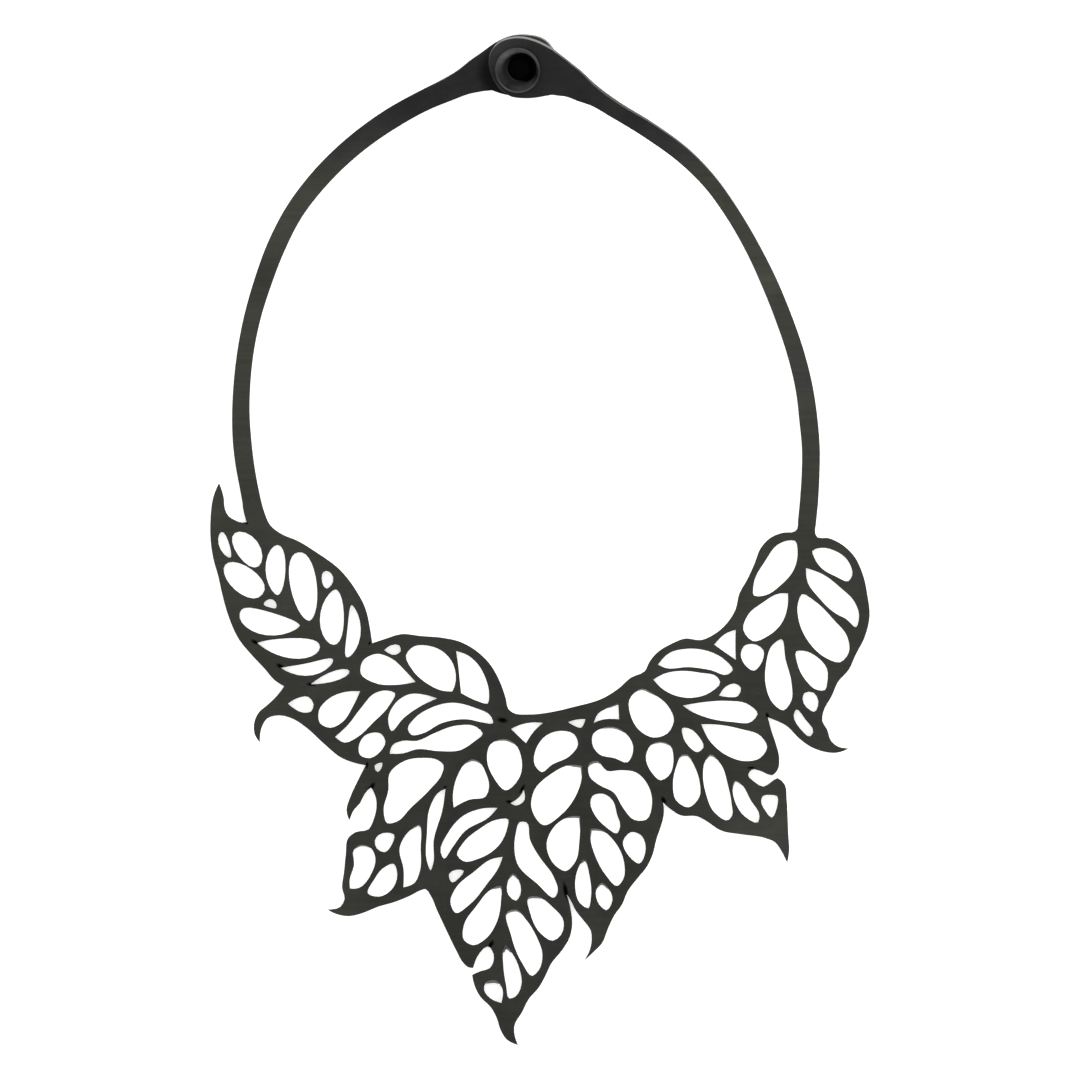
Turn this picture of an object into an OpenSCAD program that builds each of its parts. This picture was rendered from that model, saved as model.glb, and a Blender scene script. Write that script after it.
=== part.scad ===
// Statement necklace cut in one piece from a flat sheet of matt black rubber.
// Seven pierced leaves form the bib, two slim straps rise from the outer leaves
// to round tabs, and a press snap joins the tabs behind the neck.
// Millimetres. The necklace lies flat: +Z up, +X to the right, +Y towards the snap.

/* [Sheet] */
// Thickness of the rubber sheet, mm
sheet = 2.0; // [1.5:0.1:3]
// Longest straight step along a cut curve of the bib, mm
cut_step = 1.4; // [0.8:0.1:3]
// Longest straight step along a strap, mm
strap_step = 2.0; // [1.5:0.5:6]

/* [Fastening] */
// How far the fastened tabs lean off the flat, degrees
lean = 13; // [0:1:20]
// Direction in which the leaning tabs rise, degrees from +X
lean_to = 51; // [0:1:90]
// Outer radius of the ring and of the back cap, mm
snap_r = 6.2; // [6:0.1:7]
// Height of the socket and stud between the two tabs, mm
snap_gap = 2.6; // [2:0.1:4]
// Thickness of the back cap, mm
cap_t = 1.0; // [0.6:0.1:1.5]
// Radius of the deep hole in the ring, mm
ring_hole_r = 3.7; // [3.4:0.1:4.1]
// Gap between pieces that are pressed together, mm
seat = 0.05; // [0.02:0.01:0.1]

/* [Hidden] */
// Heights along the snap's own axis
back_z = cap_t;
back_top = back_z + sheet;
front_z = back_top + snap_gap;
front_top = front_z + sheet;
// Middle of the back cap, seen from above
snap_x = -4.6;
snap_y = 128.05;
// Flat underside of the back cap, and how far the back tab's low corner stays up
cap_flat_r = snap_r - 0.6;
tab_lift = 0.1;
// Tube of the ring, and the front tab's hole round it
tube_r = ring_hole_r + 1.2;
tube_hole_r = tube_r + 0.1;
// Post of the back cap in the back tab's hole
post_hole_r = 2.0;
post_r = post_hole_r - seat;
// Farthest reach of the whole necklace each way
reach_left = -88.7;
reach_right = 89.2;
reach_down = -136.4;
reach_up = 136.2;
centred = [-(reach_left + reach_right) / 2, -(reach_down + reach_up) / 2, 0];
fine = 96;
// Fewest steps along each side of a petal cut
petal_steps = 7;
// Rubber left under a knife overcut
overcut_floor = 0.5;
// Root of each strap: how far it is sunk into the tab and stands out of it, and how
// much smaller it is than the tab's end all round
root_sunk = 1.0;
root_out = 0.03;
root_inset = 0.02;

// Edge of the bib: x, y and a 1 where the edge turns a sharp corner
left_leaf_edge = [
  [-79.9, 8.6], [-79.3, 5.9], [-79.0, 4.7, 1], [-80.2, 4.5], [-82.2, 5.2], [-83.9, 6.3],
  [-84.9, 8.3], [-85.2, 11.3], [-86.4, 15.2, 1], [-87.9, 11.4], [-88.6, 6.0], [-88.6, 0],
  [-87.9, -5.0], [-86.5, -10.0], [-85.4, -15.0], [-84.0, -20.0], [-80.9, -27.0],
  [-77.2, -31.5], [-73.8, -35.1], [-71.4, -37.9], [-68.7, -39.6, 1]];
second_leaf_edge = [
  [-70.6, -42.1], [-73.3, -44.7], [-75.7, -46.8], [-76.9, -49.9], [-76.7, -52.5],
  [-75.4, -54.7, 1], [-75.1, -51.2], [-73.5, -48.3], [-70.1, -47.4], [-66.3, -48.4],
  [-62.7, -50.8], [-58.0, -55.1], [-53.1, -59.0], [-50.0, -60.2], [-46.7, -60.9, 1]];
third_leaf_edge = [
  [-48.6, -64.6], [-50.8, -69.3], [-51.9, -73.0], [-51.2, -75.8, 1], [-50.0, -72.9],
  [-48.4, -71.2], [-47.2, -68.8], [-45.4, -67.0], [-44.2, -69.0], [-43.8, -72.2],
  [-44.5, -75.3], [-46.0, -78.3], [-49.6, -79.1], [-51.4, -80.5], [-52.1, -85.0],
  [-52.6, -90.0], [-53.1, -94.0], [-52.4, -97.1], [-53.6, -99.2], [-57.1, -99.9, 1],
  [-54.5, -101.1], [-51.2, -101.6], [-48.0, -100.9], [-43.5, -99.1], [-39.0, -97.8],
  [-34.6, -96.0], [-31.9, -94.6], [-30.6, -94.3]];
middle_leaf_edge = [
  [-29.2, -96.1], [-27.5, -100.0], [-24.8, -105.8], [-22.4, -110.7], [-20.1, -114.6],
  [-19.1, -115.4], [-17.8, -115.6, 1], [-17.3, -113.9], [-16.0, -111.5], [-13.9, -109.8],
  [-12.6, -110.9], [-12.1, -113.2], [-13.3, -115.8], [-15.8, -116.6], [-18.0, -117.6, 1],
  [-17.4, -120.2], [-15.8, -123.4], [-12.9, -126.3], [-11.4, -129.0], [-10.3, -132.4],
  [-8.7, -134.9], [-5.7, -136.4, 1], [-6.6, -134.0], [-6.7, -131.2], [-4.6, -127.5],
  [-2.9, -124.1], [-0.1, -120.9], [1.7, -117.7], [3.2, -114.5], [6.2, -110.8],
  [8.3, -107.2], [8.9, -103.5], [8.4, -99.5], [7.5, -95.8, 1]];
fifth_leaf_edge = [
  [8.6, -97.4], [9.9, -100.0], [12.4, -103.2], [14.0, -105.4], [14.3, -108.0],
  [13.7, -111.0], [12.3, -113.6, 1], [15.0, -111.0], [17.0, -108.9], [18.5, -105.2],
  [20.3, -101.4], [22.4, -98.5], [23.8, -95.1], [26.5, -91.5], [29.2, -88.1],
  [30.7, -84.8], [31.7, -80.7], [32.9, -77.3], [33.6, -74.4], [33.5, -71.0, 1]];
sixth_leaf_edge = [
  [35.6, -72.8], [38.2, -74.4], [42.8, -74.7], [45.3, -76.0], [48.9, -78.4],
  [55.2, -79.6], [61.0, -80.5], [63.8, -81.7], [65.3, -83.7], [67.0, -87.2, 1],
  [67.5, -83.0], [67.3, -80.6], [67.1, -76.0], [66.8, -70.0], [66.3, -66.2],
  [64.4, -64.5], [62.4, -65.8], [60.6, -66.8], [58.3, -65.6], [56.4, -63.5],
  [57.4, -62.1], [60.3, -62.6], [62.9, -63.6], [64.3, -62.3], [64.8, -59.0],
  [64.0, -55.5], [62.6, -51.3], [61.7, -47.9, 1]];
right_leaf_edge = [
  [64.0, -48.8], [67.2, -50.5], [70.0, -53.4], [73.6, -56.0], [77.4, -57.3],
  [80.4, -57.5], [83.6, -56.4, 1], [80.8, -56.0], [78.8, -54.4], [77.7, -51.2],
  [76.4, -49.0], [76.7, -46.5], [79.1, -42.0], [80.6, -38.5], [83.6, -35.1],
  [85.3, -31.4], [88.0, -26.0], [89.2, -20.5], [88.6, -15.0], [87.5, -9.8],
  [84.8, -4.2], [80.8, -0.8], [77.8, 0.4], [75.2, 0.5], [74.5, 1.7], [74.7, 4.0]];
neck_edge = [
  [70.0, 5.0], [69.8, 2.9], [69.2, 2.2], [66.0, 1.8], [62.8, 0.6], [60.0, -2.2],
  [58.3, -6.4], [56.2, -11.0], [54.2, -14.5], [53.1, -19.0], [51.6, -21.6],
  [47.4, -25.6], [43.8, -27.2], [39.4, -26.8], [36.0, -28.1], [31.7, -30.8],
  [29.9, -33.0], [28.6, -35.6], [24.9, -37.3], [21.6, -40.2], [17.7, -42.7],
  [9.2, -45.3], [3.0, -46.7], [-2.8, -47.3], [-7.1, -46.8], [-8.3, -45.8],
  [-9.0, -43.0], [-10.7, -38.2], [-13.6, -33.3], [-17.4, -29.8], [-21.5, -27.6],
  [-26.0, -26.6], [-32.0, -26.1], [-37.3, -25.6], [-41.3, -26.8], [-45.1, -28.1, 1],
  [-45.7, -24.0], [-46.9, -18.7], [-49.5, -13.7], [-53.7, -8.3], [-60.0, -3.6],
  [-65.0, -0.5], [-70.0, 1.7], [-72.6, 3.8], [-74.2, 7.3]];

// Petal-shaped cuts of the left leaf: start x, y, end x, y, width, roundness of
// the start and of the end (0.5 round, larger more pointed), bow to the left
petals = [
  [-85.8, 2.1, -83.3, -5.0, 2.9, 0.5, 0.6, -0.45],
  [-82.2, 1.8, -75.7, -7.3, 6.4, 0.5, 0.5, 0.45],
  [-84.8, -6.8, -74.6, -14.8, 7.2, 0.5, 0.42, -0.1],
  [-70.6, -1.4, -70.6, -15.1, 5.5, 0.5, 0.6, -0.55],
  [-65.0, -3.4, -62.0, -22.0, 7.3, 0.42, 0.56, 0],
  [-57.5, -8.4, -57.3, -13.3, 3.3, 0.5, 0.6, 0.3],
  [-54.9, -13.4, -55.5, -28.5, 6.6, 0.6, 0.5, -0.7],
  [-50.6, -17.6, -51.8, -31.9, 3.8, 0.6, 0.5, 1.25],
  [-74.4, -17.3, -70.8, -18.2, 2.4, 0.5, 0.45, 0.55],
  [-64.5, -23.3, -80.9, -19.9, 6.5, 0.65, 0.42, 1.2],
  [-76.0, -27.9, -59.1, -29.1, 5.7, 0.8, 0.45, -0.8],
  [-69.6, -34.7, -55.5, -32.5, 3.6, 0.75, 0.5, -1.5],
  [-61.7, -39.1, -51.1, -35.5, 2.8, 0.9, 0.5, 0.05]];

// Freehand cuts: one loop a row, each point x, y and a 1 at a sharp corner
second_leaf_cuts = [
  [[-67.9, -44.3, 1], [-65.3, -42.8], [-62.3, -42.4], [-60.8, -44.4], [-61.5, -46.5],
   [-63.6, -46.8], [-66.3, -45.6]],
  [[-41.9, -29.9, 1], [-40.0, -28.5], [-37.7, -28.5], [-37.3, -30.2], [-38.8, -31.2]],
  [[-33.2, -38.5, 1], [-35.8, -35.7], [-39.9, -32.0], [-44.0, -30.8], [-47.8, -33.0],
   [-48.2, -36.2], [-44.3, -38.8], [-38.5, -39.3]],
  [[-36.0, -31.3], [-33.8, -28.8], [-30.0, -28.6], [-26.2, -30.0], [-23.6, -32.7],
   [-22.4, -36.5], [-22.6, -39.2], [-23.4, -41.1, 1], [-26.0, -40.9], [-30.0, -39.1],
   [-34.4, -35.0]],
  [[-22.5, -30.0, 1], [-19.2, -31.2], [-16.5, -33.6], [-14.3, -37.6], [-13.4, -42.0],
   [-13.8, -44.4], [-16.3, -43.8], [-21.1, -41.5, 1], [-21.4, -38.5], [-21.9, -33.8]],
  [[-48.2, -40.9, 1], [-52.3, -41.1], [-56.6, -42.8], [-59.5, -46.2], [-59.2, -49.6],
   [-56.5, -50.9], [-53.0, -49.3], [-50.3, -45.3]],
  [[-38.8, -41.4], [-41.0, -40.7], [-44.1, -41.3], [-48.3, -45.7], [-51.7, -50.1],
   [-55.2, -53.3, 1], [-52.5, -54.9], [-49.0, -53.4], [-44.9, -49.6], [-40.3, -44.7]],
  [[-27.4, -42.9, 1], [-30.6, -41.9], [-35.0, -41.7], [-38.7, -44.0], [-40.8, -48.5],
   [-39.9, -51.8], [-36.5, -48.2], [-32.2, -45.2]],
  [[-35.5, -51.2], [-33.7, -48.3], [-29.7, -45.6], [-23.5, -44.0], [-17.5, -45.3],
   [-12.8, -47.9], [-12.3, -49.7], [-15.0, -49.5], [-19.5, -48.6], [-26.2, -49.6],
   [-31.7, -52.5], [-34.5, -52.8]],
  [[-40.4, -57.9, 1], [-39.7, -55.6], [-37.0, -54.3], [-33.0, -54.3], [-28.0, -52.1],
   [-22.5, -50.2], [-16.8, -50.6], [-15.1, -52.3], [-17.6, -54.7], [-21.2, -56.9],
   [-27.0, -57.2], [-33.0, -56.7], [-36.7, -57.8]],
  [[-45.5, -52.2], [-42.6, -52.4], [-41.4, -54.5], [-43.0, -57.5], [-45.7, -59.1],
   [-48.4, -58.2], [-48.6, -55.2], [-47.2, -53.0]]];
third_leaf_cuts = [
  [[-42.2, -60.2, 1], [-43.6, -60.4], [-44.5, -61.1], [-43.6, -62.9], [-42.6, -62.0]],
  [[-31.5, -58.9], [-27.1, -59.6], [-25.7, -60.9], [-26.1, -63.2], [-29.5, -67.6], [-34.6, -72.5],
   [-38.5, -76.3], [-41.0, -76.7], [-42.0, -73.5], [-40.7, -67.5], [-40.5, -63.3],
   [-36.3, -59.7]],
  [[-41.0, -79.1], [-39.1, -79.6], [-39.7, -82.4], [-41.7, -84.5], [-43.8, -83.5],
   [-44.4, -81.3], [-43.3, -79.7]],
  [[-48.2, -82.4], [-45.3, -83.3], [-44.1, -86.0], [-45.2, -90.2], [-48.8, -94.2],
   [-51.1, -94.3, 1], [-51.2, -92.0], [-50.0, -88.0], [-50.0, -83.6]],
  [[-39.2, -87.5], [-38.2, -90.5], [-39.3, -94.0], [-43.2, -96.5], [-46.3, -95.6],
   [-44.5, -91.7], [-42.3, -88.8]],
  [[-32.4, -76.9], [-35.0, -78.6], [-37.7, -83.2], [-36.6, -89.2], [-36.7, -94.0, 1],
   [-33.6, -92.8], [-32.1, -89.5], [-31.9, -83.5]],
  [[-25.2, -67.3, 1], [-26.7, -67.9], [-29.4, -72.0], [-30.3, -79.0], [-30.0, -88.0],
   [-29.3, -89.5], [-28.5, -87.5], [-28.4, -81.5], [-25.9, -72.5]]];
middle_leaf_cuts = [
  [[-18.2, -59.3], [-16.3, -59.8], [-14.3, -63.0], [-13.4, -66.8], [-14.3, -69.4],
   [-18.8, -70.3], [-23.1, -72.5, 1], [-23.3, -69.0], [-21.9, -63.4], [-20.0, -60.4]],
  [[-9.5, -53.8], [-6.6, -55.0], [-4.6, -59.5], [-5.0, -63.8], [-9.1, -67.8],
   [-12.3, -64.3], [-14.1, -59.5], [-13.2, -55.3]],
  [[-7.7, -51.1, 1], [-4.5, -49.8], [-1.0, -49.3], [1.2, -49.5, 1], [-1.3, -51.8],
   [-3.5, -55.1, 1], [-5.5, -53.2]],
  [[-4.1, -67.6, 1], [-3.8, -70.3], [-6.3, -71.9], [-7.8, -71.2, 1], [-5.3, -69.4]],
  [[-11.1, -72.4, 1], [-15.5, -72.6], [-20.3, -74.4], [-24.7, -79.3], [-26.6, -84.5],
   [-25.7, -86.3], [-23.5, -83.4], [-20.0, -78.8], [-13.2, -74.8]],
  [[-8.2, -75.6], [-11.5, -75.6], [-16.0, -78.0], [-20.7, -82.1], [-22.2, -85.2],
   [-20.5, -86.9], [-16.2, -86.2], [-10.7, -82.5], [-8.4, -77.5]],
  [[-24.3, -90.2], [-22.3, -89.1], [-20.2, -89.4], [-21.5, -91.4], [-23.5, -92.7],
   [-24.3, -91.5]],
  [[-9.7, -85.6, 1], [-13.0, -86.3], [-17.5, -89.6], [-22.5, -94.0], [-24.0, -98.0],
   [-22.6, -100.9], [-18.5, -98.4], [-14.0, -93.0], [-10.7, -88.3]],
  [[-10.4, -93.3], [-12.7, -94.2], [-17.0, -99.0], [-20.3, -104.0], [-20.3, -108.2],
   [-17.8, -109.6], [-14.2, -107.7], [-11.3, -103.2], [-10.2, -97.5]],
  [[-7.0, -89.9], [-5.4, -92.0], [-5.0, -96.0], [-6.2, -97.6], [-8.3, -96.0],
   [-8.3, -91.8]],
  [[-5.2, -76.2], [-3.4, -76.3], [-2.4, -81.0], [0.2, -85.7], [4.0, -91.0],
   [5.1, -95.2], [4.4, -96.6], [-0.5, -93.0], [-6.0, -87.3], [-6.7, -83.0],
   [-6.3, -79.2]],
  [[-8.5, -100.4], [-6.2, -99.8], [-3.5, -102.5], [-0.6, -107.2], [1.0, -112.2],
   [0.0, -116.3], [-1.7, -117.9], [-4.7, -114.2], [-7.6, -106.8]],
  [[-2.9, -96.5], [-0.5, -96.3], [3.6, -99.1], [6.7, -103.0], [6.0, -106.8],
   [3.8, -108.4], [0.4, -106.4], [-2.4, -101.0]],
  [[-9.1, -109.3], [-7.3, -111.5], [-5.2, -116.0], [-4.7, -120.3], [-6.4, -123.5],
   [-8.0, -124.0], [-8.9, -120.5], [-9.7, -115.0], [-9.6, -110.5]],
  [[-14.5, -119.6], [-11.6, -118.9], [-9.9, -121.0], [-10.1, -125.2, 1],
   [-13.2, -123.9], [-14.9, -121.6]]];
fifth_leaf_cuts = [
  [[7.7, -49.3, 1], [9.9, -48.6], [12.6, -48.4, 1], [12.1, -50.0], [11.4, -50.9],
   [9.6, -50.4]],
  [[21.5, -44.1, 1], [18.3, -45.5], [15.9, -47.0], [14.7, -49.6, 1], [17.5, -48.6],
   [21.7, -48.6, 1], [21.6, -46.4]],
  [[5.9, -51.6], [9.5, -52.5], [10.6, -55.4], [8.2, -58.6], [3.4, -60.9], [0.8, -62.9],
   [-1.2, -60.9], [-0.9, -56.6], [2.0, -52.8]],
  [[16.4, -51.1], [20.0, -50.5], [23.5, -52.3], [25.5, -55.8], [24.9, -59.0],
   [24.0, -60.2], [20.5, -59.1], [16.2, -58.0], [14.4, -55.5], [14.6, -52.4]],
  [[11.6, -61.0, 1], [8.5, -60.8], [3.0, -63.4], [-1.3, -67.6], [-2.1, -72.5],
   [1.2, -77.2], [6.2, -74.2], [9.8, -69.6], [11.6, -64.3]],
  [[13.6, -60.3], [15.8, -59.7], [18.3, -62.4], [22.0, -62.2], [26.2, -62.8],
   [29.6, -66.5], [30.6, -71.2], [29.0, -75.7], [25.8, -75.8], [22.6, -72.4],
   [20.2, -68.4], [16.2, -66.3], [13.6, -64.0]],
  [[14.3, -69.3], [17.4, -68.6], [20.0, -70.5], [21.1, -74.2], [22.0, -77.5],
   [21.2, -79.4], [18.0, -77.6], [14.9, -74.2], [13.8, -71.0]],
  [[11.1, -74.6, 1], [8.8, -74.6], [4.2, -77.3], [2.0, -82.0], [4.4, -88.1],
   [7.2, -89.6], [9.7, -87.3], [11.0, -81.0]],
  [[13.9, -78.0, 1], [16.2, -78.1], [20.5, -81.6], [23.0, -87.0], [22.7, -92.0],
   [21.3, -93.6], [17.9, -90.5], [15.2, -85.6], [13.8, -80.5]],
  [[24.9, -78.9], [27.7, -79.9], [28.9, -83.4], [27.0, -87.6], [24.4, -85.7],
   [22.6, -81.5]],
  [[12.3, -85.9], [10.5, -88.8], [9.7, -93.5], [11.0, -98.2], [13.3, -99.7],
   [14.1, -96.5], [13.6, -90.3]],
  [[16.8, -92.6], [19.0, -94.4], [19.9, -97.4], [18.2, -100.2], [16.3, -98.7],
   [15.4, -94.5]]];
sixth_leaf_cuts = [
  [[27.8, -40.2], [31.0, -41.7], [34.8, -44.8], [36.5, -48.9], [34.7, -52.4],
   [30.8, -53.5], [27.0, -51.5], [24.6, -47.2], [24.3, -43.3]],
  [[30.8, -37.8, 1], [33.7, -36.2], [38.5, -35.4], [43.5, -35.9], [48.2, -37.1],
   [49.0, -38.5], [46.3, -41.3], [41.2, -42.8], [36.0, -41.9], [32.6, -39.8]],
  [[32.0, -33.8, 1], [35.0, -30.7], [40.5, -29.4], [45.8, -30.1], [50.5, -32.7],
   [52.4, -35.3], [51.0, -36.5], [46.3, -35.3], [40.5, -34.5], [34.0, -34.7]],
  [[53.2, -24.3, 1], [50.8, -25.1], [47.2, -28.4, 1], [50.2, -30.5], [53.2, -32.6, 1],
   [53.1, -28.0]],
  [[48.5, -42.2, 1], [50.5, -39.6], [52.8, -38.8], [54.6, -40.0], [53.8, -42.3],
   [51.0, -42.6]],
  [[38.7, -44.8, 1], [44.0, -43.9], [51.0, -43.5], [56.0, -44.2], [59.1, -47.2],
   [57.5, -49.2], [52.0, -49.3], [45.5, -48.2], [40.5, -46.1]],
  [[43.7, -49.8, 1], [49.0, -50.0], [54.5, -51.1], [60.0, -53.1], [61.7, -56.0],
   [59.8, -59.0], [55.5, -59.9], [51.0, -58.5], [46.3, -54.7]],
  [[32.8, -54.5], [35.5, -55.6], [36.4, -59.0], [35.0, -63.9], [32.9, -65.1],
   [30.5, -63.1], [28.8, -58.5], [30.2, -55.4]],
  [[38.6, -50.9], [40.4, -50.9], [43.3, -53.3], [44.5, -56.1], [43.0, -57.5],
   [40.4, -55.9], [38.6, -52.3]],
  [[38.5, -58.1], [40.2, -58.0], [41.6, -60.3], [43.4, -65.2], [43.4, -69.5],
   [40.3, -72.4], [37.0, -70.5], [36.1, -66.0], [37.1, -61.0]],
  [[46.2, -57.9], [49.2, -60.7], [51.1, -66.4], [52.1, -71.5], [52.2, -74.6], [51.2, -75.8],
   [47.4, -73.8], [45.0, -68.5], [44.2, -63.5], [44.9, -59.5]],
  [[52.8, -64.9], [54.3, -65.7], [57.3, -70.5], [59.6, -74.6], [59.2, -76.4],
   [55.6, -74.9], [53.3, -71.8], [52.3, -66.5]],
  [[60.4, -69.2], [62.5, -68.9], [64.3, -69.2], [64.4, -72.0], [62.8, -75.2],
   [61.1, -73.3], [59.9, -70.5]]];
right_leaf_cuts = [
  [[69.2, -0.3], [69.9, -3.5], [68.9, -8.1], [65.5, -12.2], [60.8, -15.2],
   [58.0, -15.2], [57.9, -12.0], [61.2, -5.5], [64.2, -1.5], [66.8, -0.3]],
  [[73.7, -3.1], [76.0, -2.2], [80.0, -3.0], [83.4, -5.6], [84.6, -9.8], [83.6, -11.3],
   [80.3, -10.1], [76.2, -7.7], [74.2, -4.8]],
  [[72.0, -7.6, 1], [76.6, -9.3], [81.5, -13.0], [85.2, -16.7], [86.5, -20.5],
   [85.6, -23.8], [82.9, -21.5], [80.2, -20.1], [75.4, -15.6], [72.5, -11.6]],
  [[70.9, -14.7], [74.5, -16.6], [79.7, -21.7], [83.3, -26.2], [83.7, -30.6],
   [81.3, -33.2], [77.6, -32.1], [73.0, -28.0], [70.2, -22.3], [69.9, -17.0]],
  [[67.3, -14.5, 1], [65.0, -14.5], [60.2, -17.1], [56.6, -20.0], [55.1, -24.4],
   [57.8, -27.5], [62.0, -26.0], [65.6, -22.6], [67.2, -18.0]],
  [[55.3, -28.7], [58.6, -28.3], [60.7, -29.9], [60.3, -33.0], [58.0, -35.5],
   [55.5, -33.8], [54.4, -31.0]],
  [[65.4, -26.8], [66.6, -32.2], [68.3, -39.0], [68.2, -43.6], [66.0, -46.2],
   [63.1, -44.2], [61.2, -39.5], [61.2, -34.0], [63.1, -28.3]],
  [[69.4, -30.1], [71.5, -30.0], [75.3, -31.8], [77.8, -34.8], [77.9, -38.6],
   [77.3, -40.7], [75.2, -40.7], [71.8, -37.8], [69.7, -33.5]],
  [[71.6, -41.4], [74.2, -41.3], [75.5, -43.6], [74.3, -46.6], [73.3, -46.2],
   [71.1, -43.1]],
  [[69.4, -45.8], [72.0, -48.6], [74.1, -52.0], [73.3, -53.2], [70.4, -51.0],
   [68.7, -47.4]]];

// Knife overcuts, which run on from sharp corners and stop short of the underside:
// x, y and width where one starts in the opening, x, y of its tip
overcuts = [
  [-74.8, -28.5, 0.7, -77.2, -27.2], [-68.8, -35.0, 0.5, -70.4, -34.1],
  [-61.0, -39.0, 0.3, -62.3, -38.9], [-79.4, 4.9, 0.4, -78.4, 4.1],
  [-45.4, -67.6, 0.5, -45.2, -66.3], [-4.2, -68.4, 0.4, -3.9, -66.8],
  [-7.0, -71.0, 0.4, -8.6, -70.9], [-9.1, -48.9, 0.6, -10.4, -48.7],
  [7.8, -96.8, 0.5, 7.1, -93.5], [34.0, -72.0, 0.4, 33.2, -70.1],
  [61.9, -48.6, 0.4, 61.4, -47.3], [-13.4, -110.5, 0.5, -12.9, -109.2]];

// Tabs, seen along the snap's axis: the first two points are the end where the
// strap starts, outer corner first
front_tab_edge = [
  [9.3, 5.5, 1], [6.4, -7.2, 1], [3.8, -7.6], [1.1, -7.7], [-1.9, -7.3], [-4.3, -6.0],
  [-6.4, -3.4], [-7.7, -0.4], [-7.9, 2.4], [-7.2, 5.1], [-5.5, 7.1], [-2.7, 8.4],
  [1.2, 8.7], [4.8, 7.8]];
back_tab_edge = [
  [-10.1, 4.1, 1], [-7.8, -6.4, 1], [-4.3, -7.5], [0.4, -7.8], [5.2, -7.0], [9.0, -3.8],
  [10.4, 0.2], [9.1, 4.2], [6.2, 7.3], [1.8, 8.4], [-2.5, 8.1], [-6.2, 6.6]];

// Straps from tab to bib: x and y of the middle and the width, as seen from above,
// height as a share of the tab's own, and roll as a multiple of the tabs' lean
left_strap = [
  [-16.9, 125.2, 0.9, 9.0, 0.55], [-20.1, 123.7, 0.75, 7.2, 0.6],
  [-24.9, 121.4, 0.6, 6.2, 0.6], [-30.0, 119.1, 0.4, 5.7, 0.45], [-40.0, 113.6, 0.2, 5.6, 0.2],
  [-50.0, 106.4, 0, 5.3, 0], [-60.0, 96.6, 0, 5.1, 0], [-66.1, 88.5, 0, 4.9, 0],
  [-71.0, 79.0, 0, 4.9, 0], [-74.4, 70.0, 0, 4.7, 0], [-77.4, 60.0, 0, 4.4, 0],
  [-79.2, 51.0, 0, 4.3, 0], [-80.2, 42.0, 0, 4.4, 0], [-80.5, 34.0, 0, 4.6, 0],
  [-80.2, 27.0, 0, 4.9, 0], [-79.4, 20.0, 0, 4.9, 0], [-78.4, 14.5, 0, 4.8, 0],
  [-77.6, 10.4, 0, 4.9, 0]];
right_strap = [
  [5.5, 124.7, 1, 10.2, 1.1], [8.9, 123.2, 1, 8.1, 1.2], [11.9, 121.3, 0.99, 6.6, 1.4],
  [15.4, 119.3, 0.96, 5.0, 1.6], [19.9, 116.4, 0.9, 4.4, 1.6], [29.9, 110.3, 0.76, 4.2, 1.2],
  [39.9, 102.9, 0.58, 4.1, 0.8], [46.4, 96.2, 0.43, 3.8, 0.6], [52.0, 88.4, 0.3, 3.7, 0.4],
  [58.0, 78.1, 0.15, 3.9, 0.25], [62.0, 69.8, 0.06, 4.3, 0.2], [66.0, 60.0, 0, 4.4, 0],
  [69.4, 50.0, 0, 4.5, 0], [71.7, 40.4, 0, 4.6, 0], [72.8, 32.0, 0, 4.8, 0],
  [73.4, 25.0, 0, 4.7, 0], [73.3, 16.5, 0, 4.7, 0], [72.9, 10.0, 0, 4.8, 0]];

// Curves through hand-placed points
function unit(v) = v / norm(v);
function xy(p) = [p[0], p[1]];
function sharp(p) = len(p) > 2 && p[2] == 1;
function slope(a, p, b) =
  let (back = norm(p - a), on = norm(b - p))
  ((p - a) * on / back + (b - p) * back / on) / (back + on);
function blend(p, q, m, n, t) =
  (2 * t ^ 3 - 3 * t ^ 2 + 1) * p + (t ^ 3 - 2 * t ^ 2 + t) * m
  + (3 * t ^ 2 - 2 * t ^ 3) * q + (t ^ 3 - t ^ 2) * n;
function stretch(a, p, q, b) =
  let (d = xy(q) - xy(p), long = norm(d),
       mp = slope(xy(a), xy(p), xy(q)) * long,
       mq = slope(xy(p), xy(q), xy(b)) * long,
       m = sharp(p) ? 1.5 * d - 0.5 * mq : mp,
       n = sharp(q) ? 1.5 * d - 0.5 * mp : mq,
       steps = max(2, ceil(long / cut_step)))
  sharp(p) && sharp(q) ? [xy(p)]
  : [for (i = [0:steps - 1]) blend(xy(p), xy(q), m, n, i / steps)];
function loop(points) =
  let (n = len(points))
  [for (i = [0:n - 1])
    each stretch(points[(i + n - 1) % n], points[i], points[(i + 1) % n], points[(i + 2) % n])];

// A petal runs from p to q, widest where the two roundnesses balance
function eased(t) = (1 - cos(180 * t)) / 2;
function half_width(t, wide, a, b) =
  let (peak = a / (a + b)) wide / 2 * pow(t / peak, a) * pow((1 - t) / (1 - peak), b);
function petal(row) =
  let (p = [row[0], row[1]], q = [row[2], row[3]], wide = row[4], a = row[5], b = row[6],
       bow = row[7], long = norm(q - p), u = (q - p) / long, v = [-u[1], u[0]],
       n = max(petal_steps, ceil(long / cut_step)))
  concat(
    [for (i = [0:n]) let (t = eased(i / n))
      p + u * long * t + v * (4 * bow * t * (1 - t) - half_width(t, wide, a, b))],
    [for (i = [n - 1:-1:1]) let (t = eased(i / n))
      p + u * long * t + v * (4 * bow * t * (1 - t) + half_width(t, wide, a, b))]);

function overcut(row) =
  let (p = [row[0], row[1]], q = [row[3], row[4]], u = unit(q - p), v = [-u[1], u[0]])
  [p - v * row[2] / 2, q, p + v * row[2] / 2];

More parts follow.
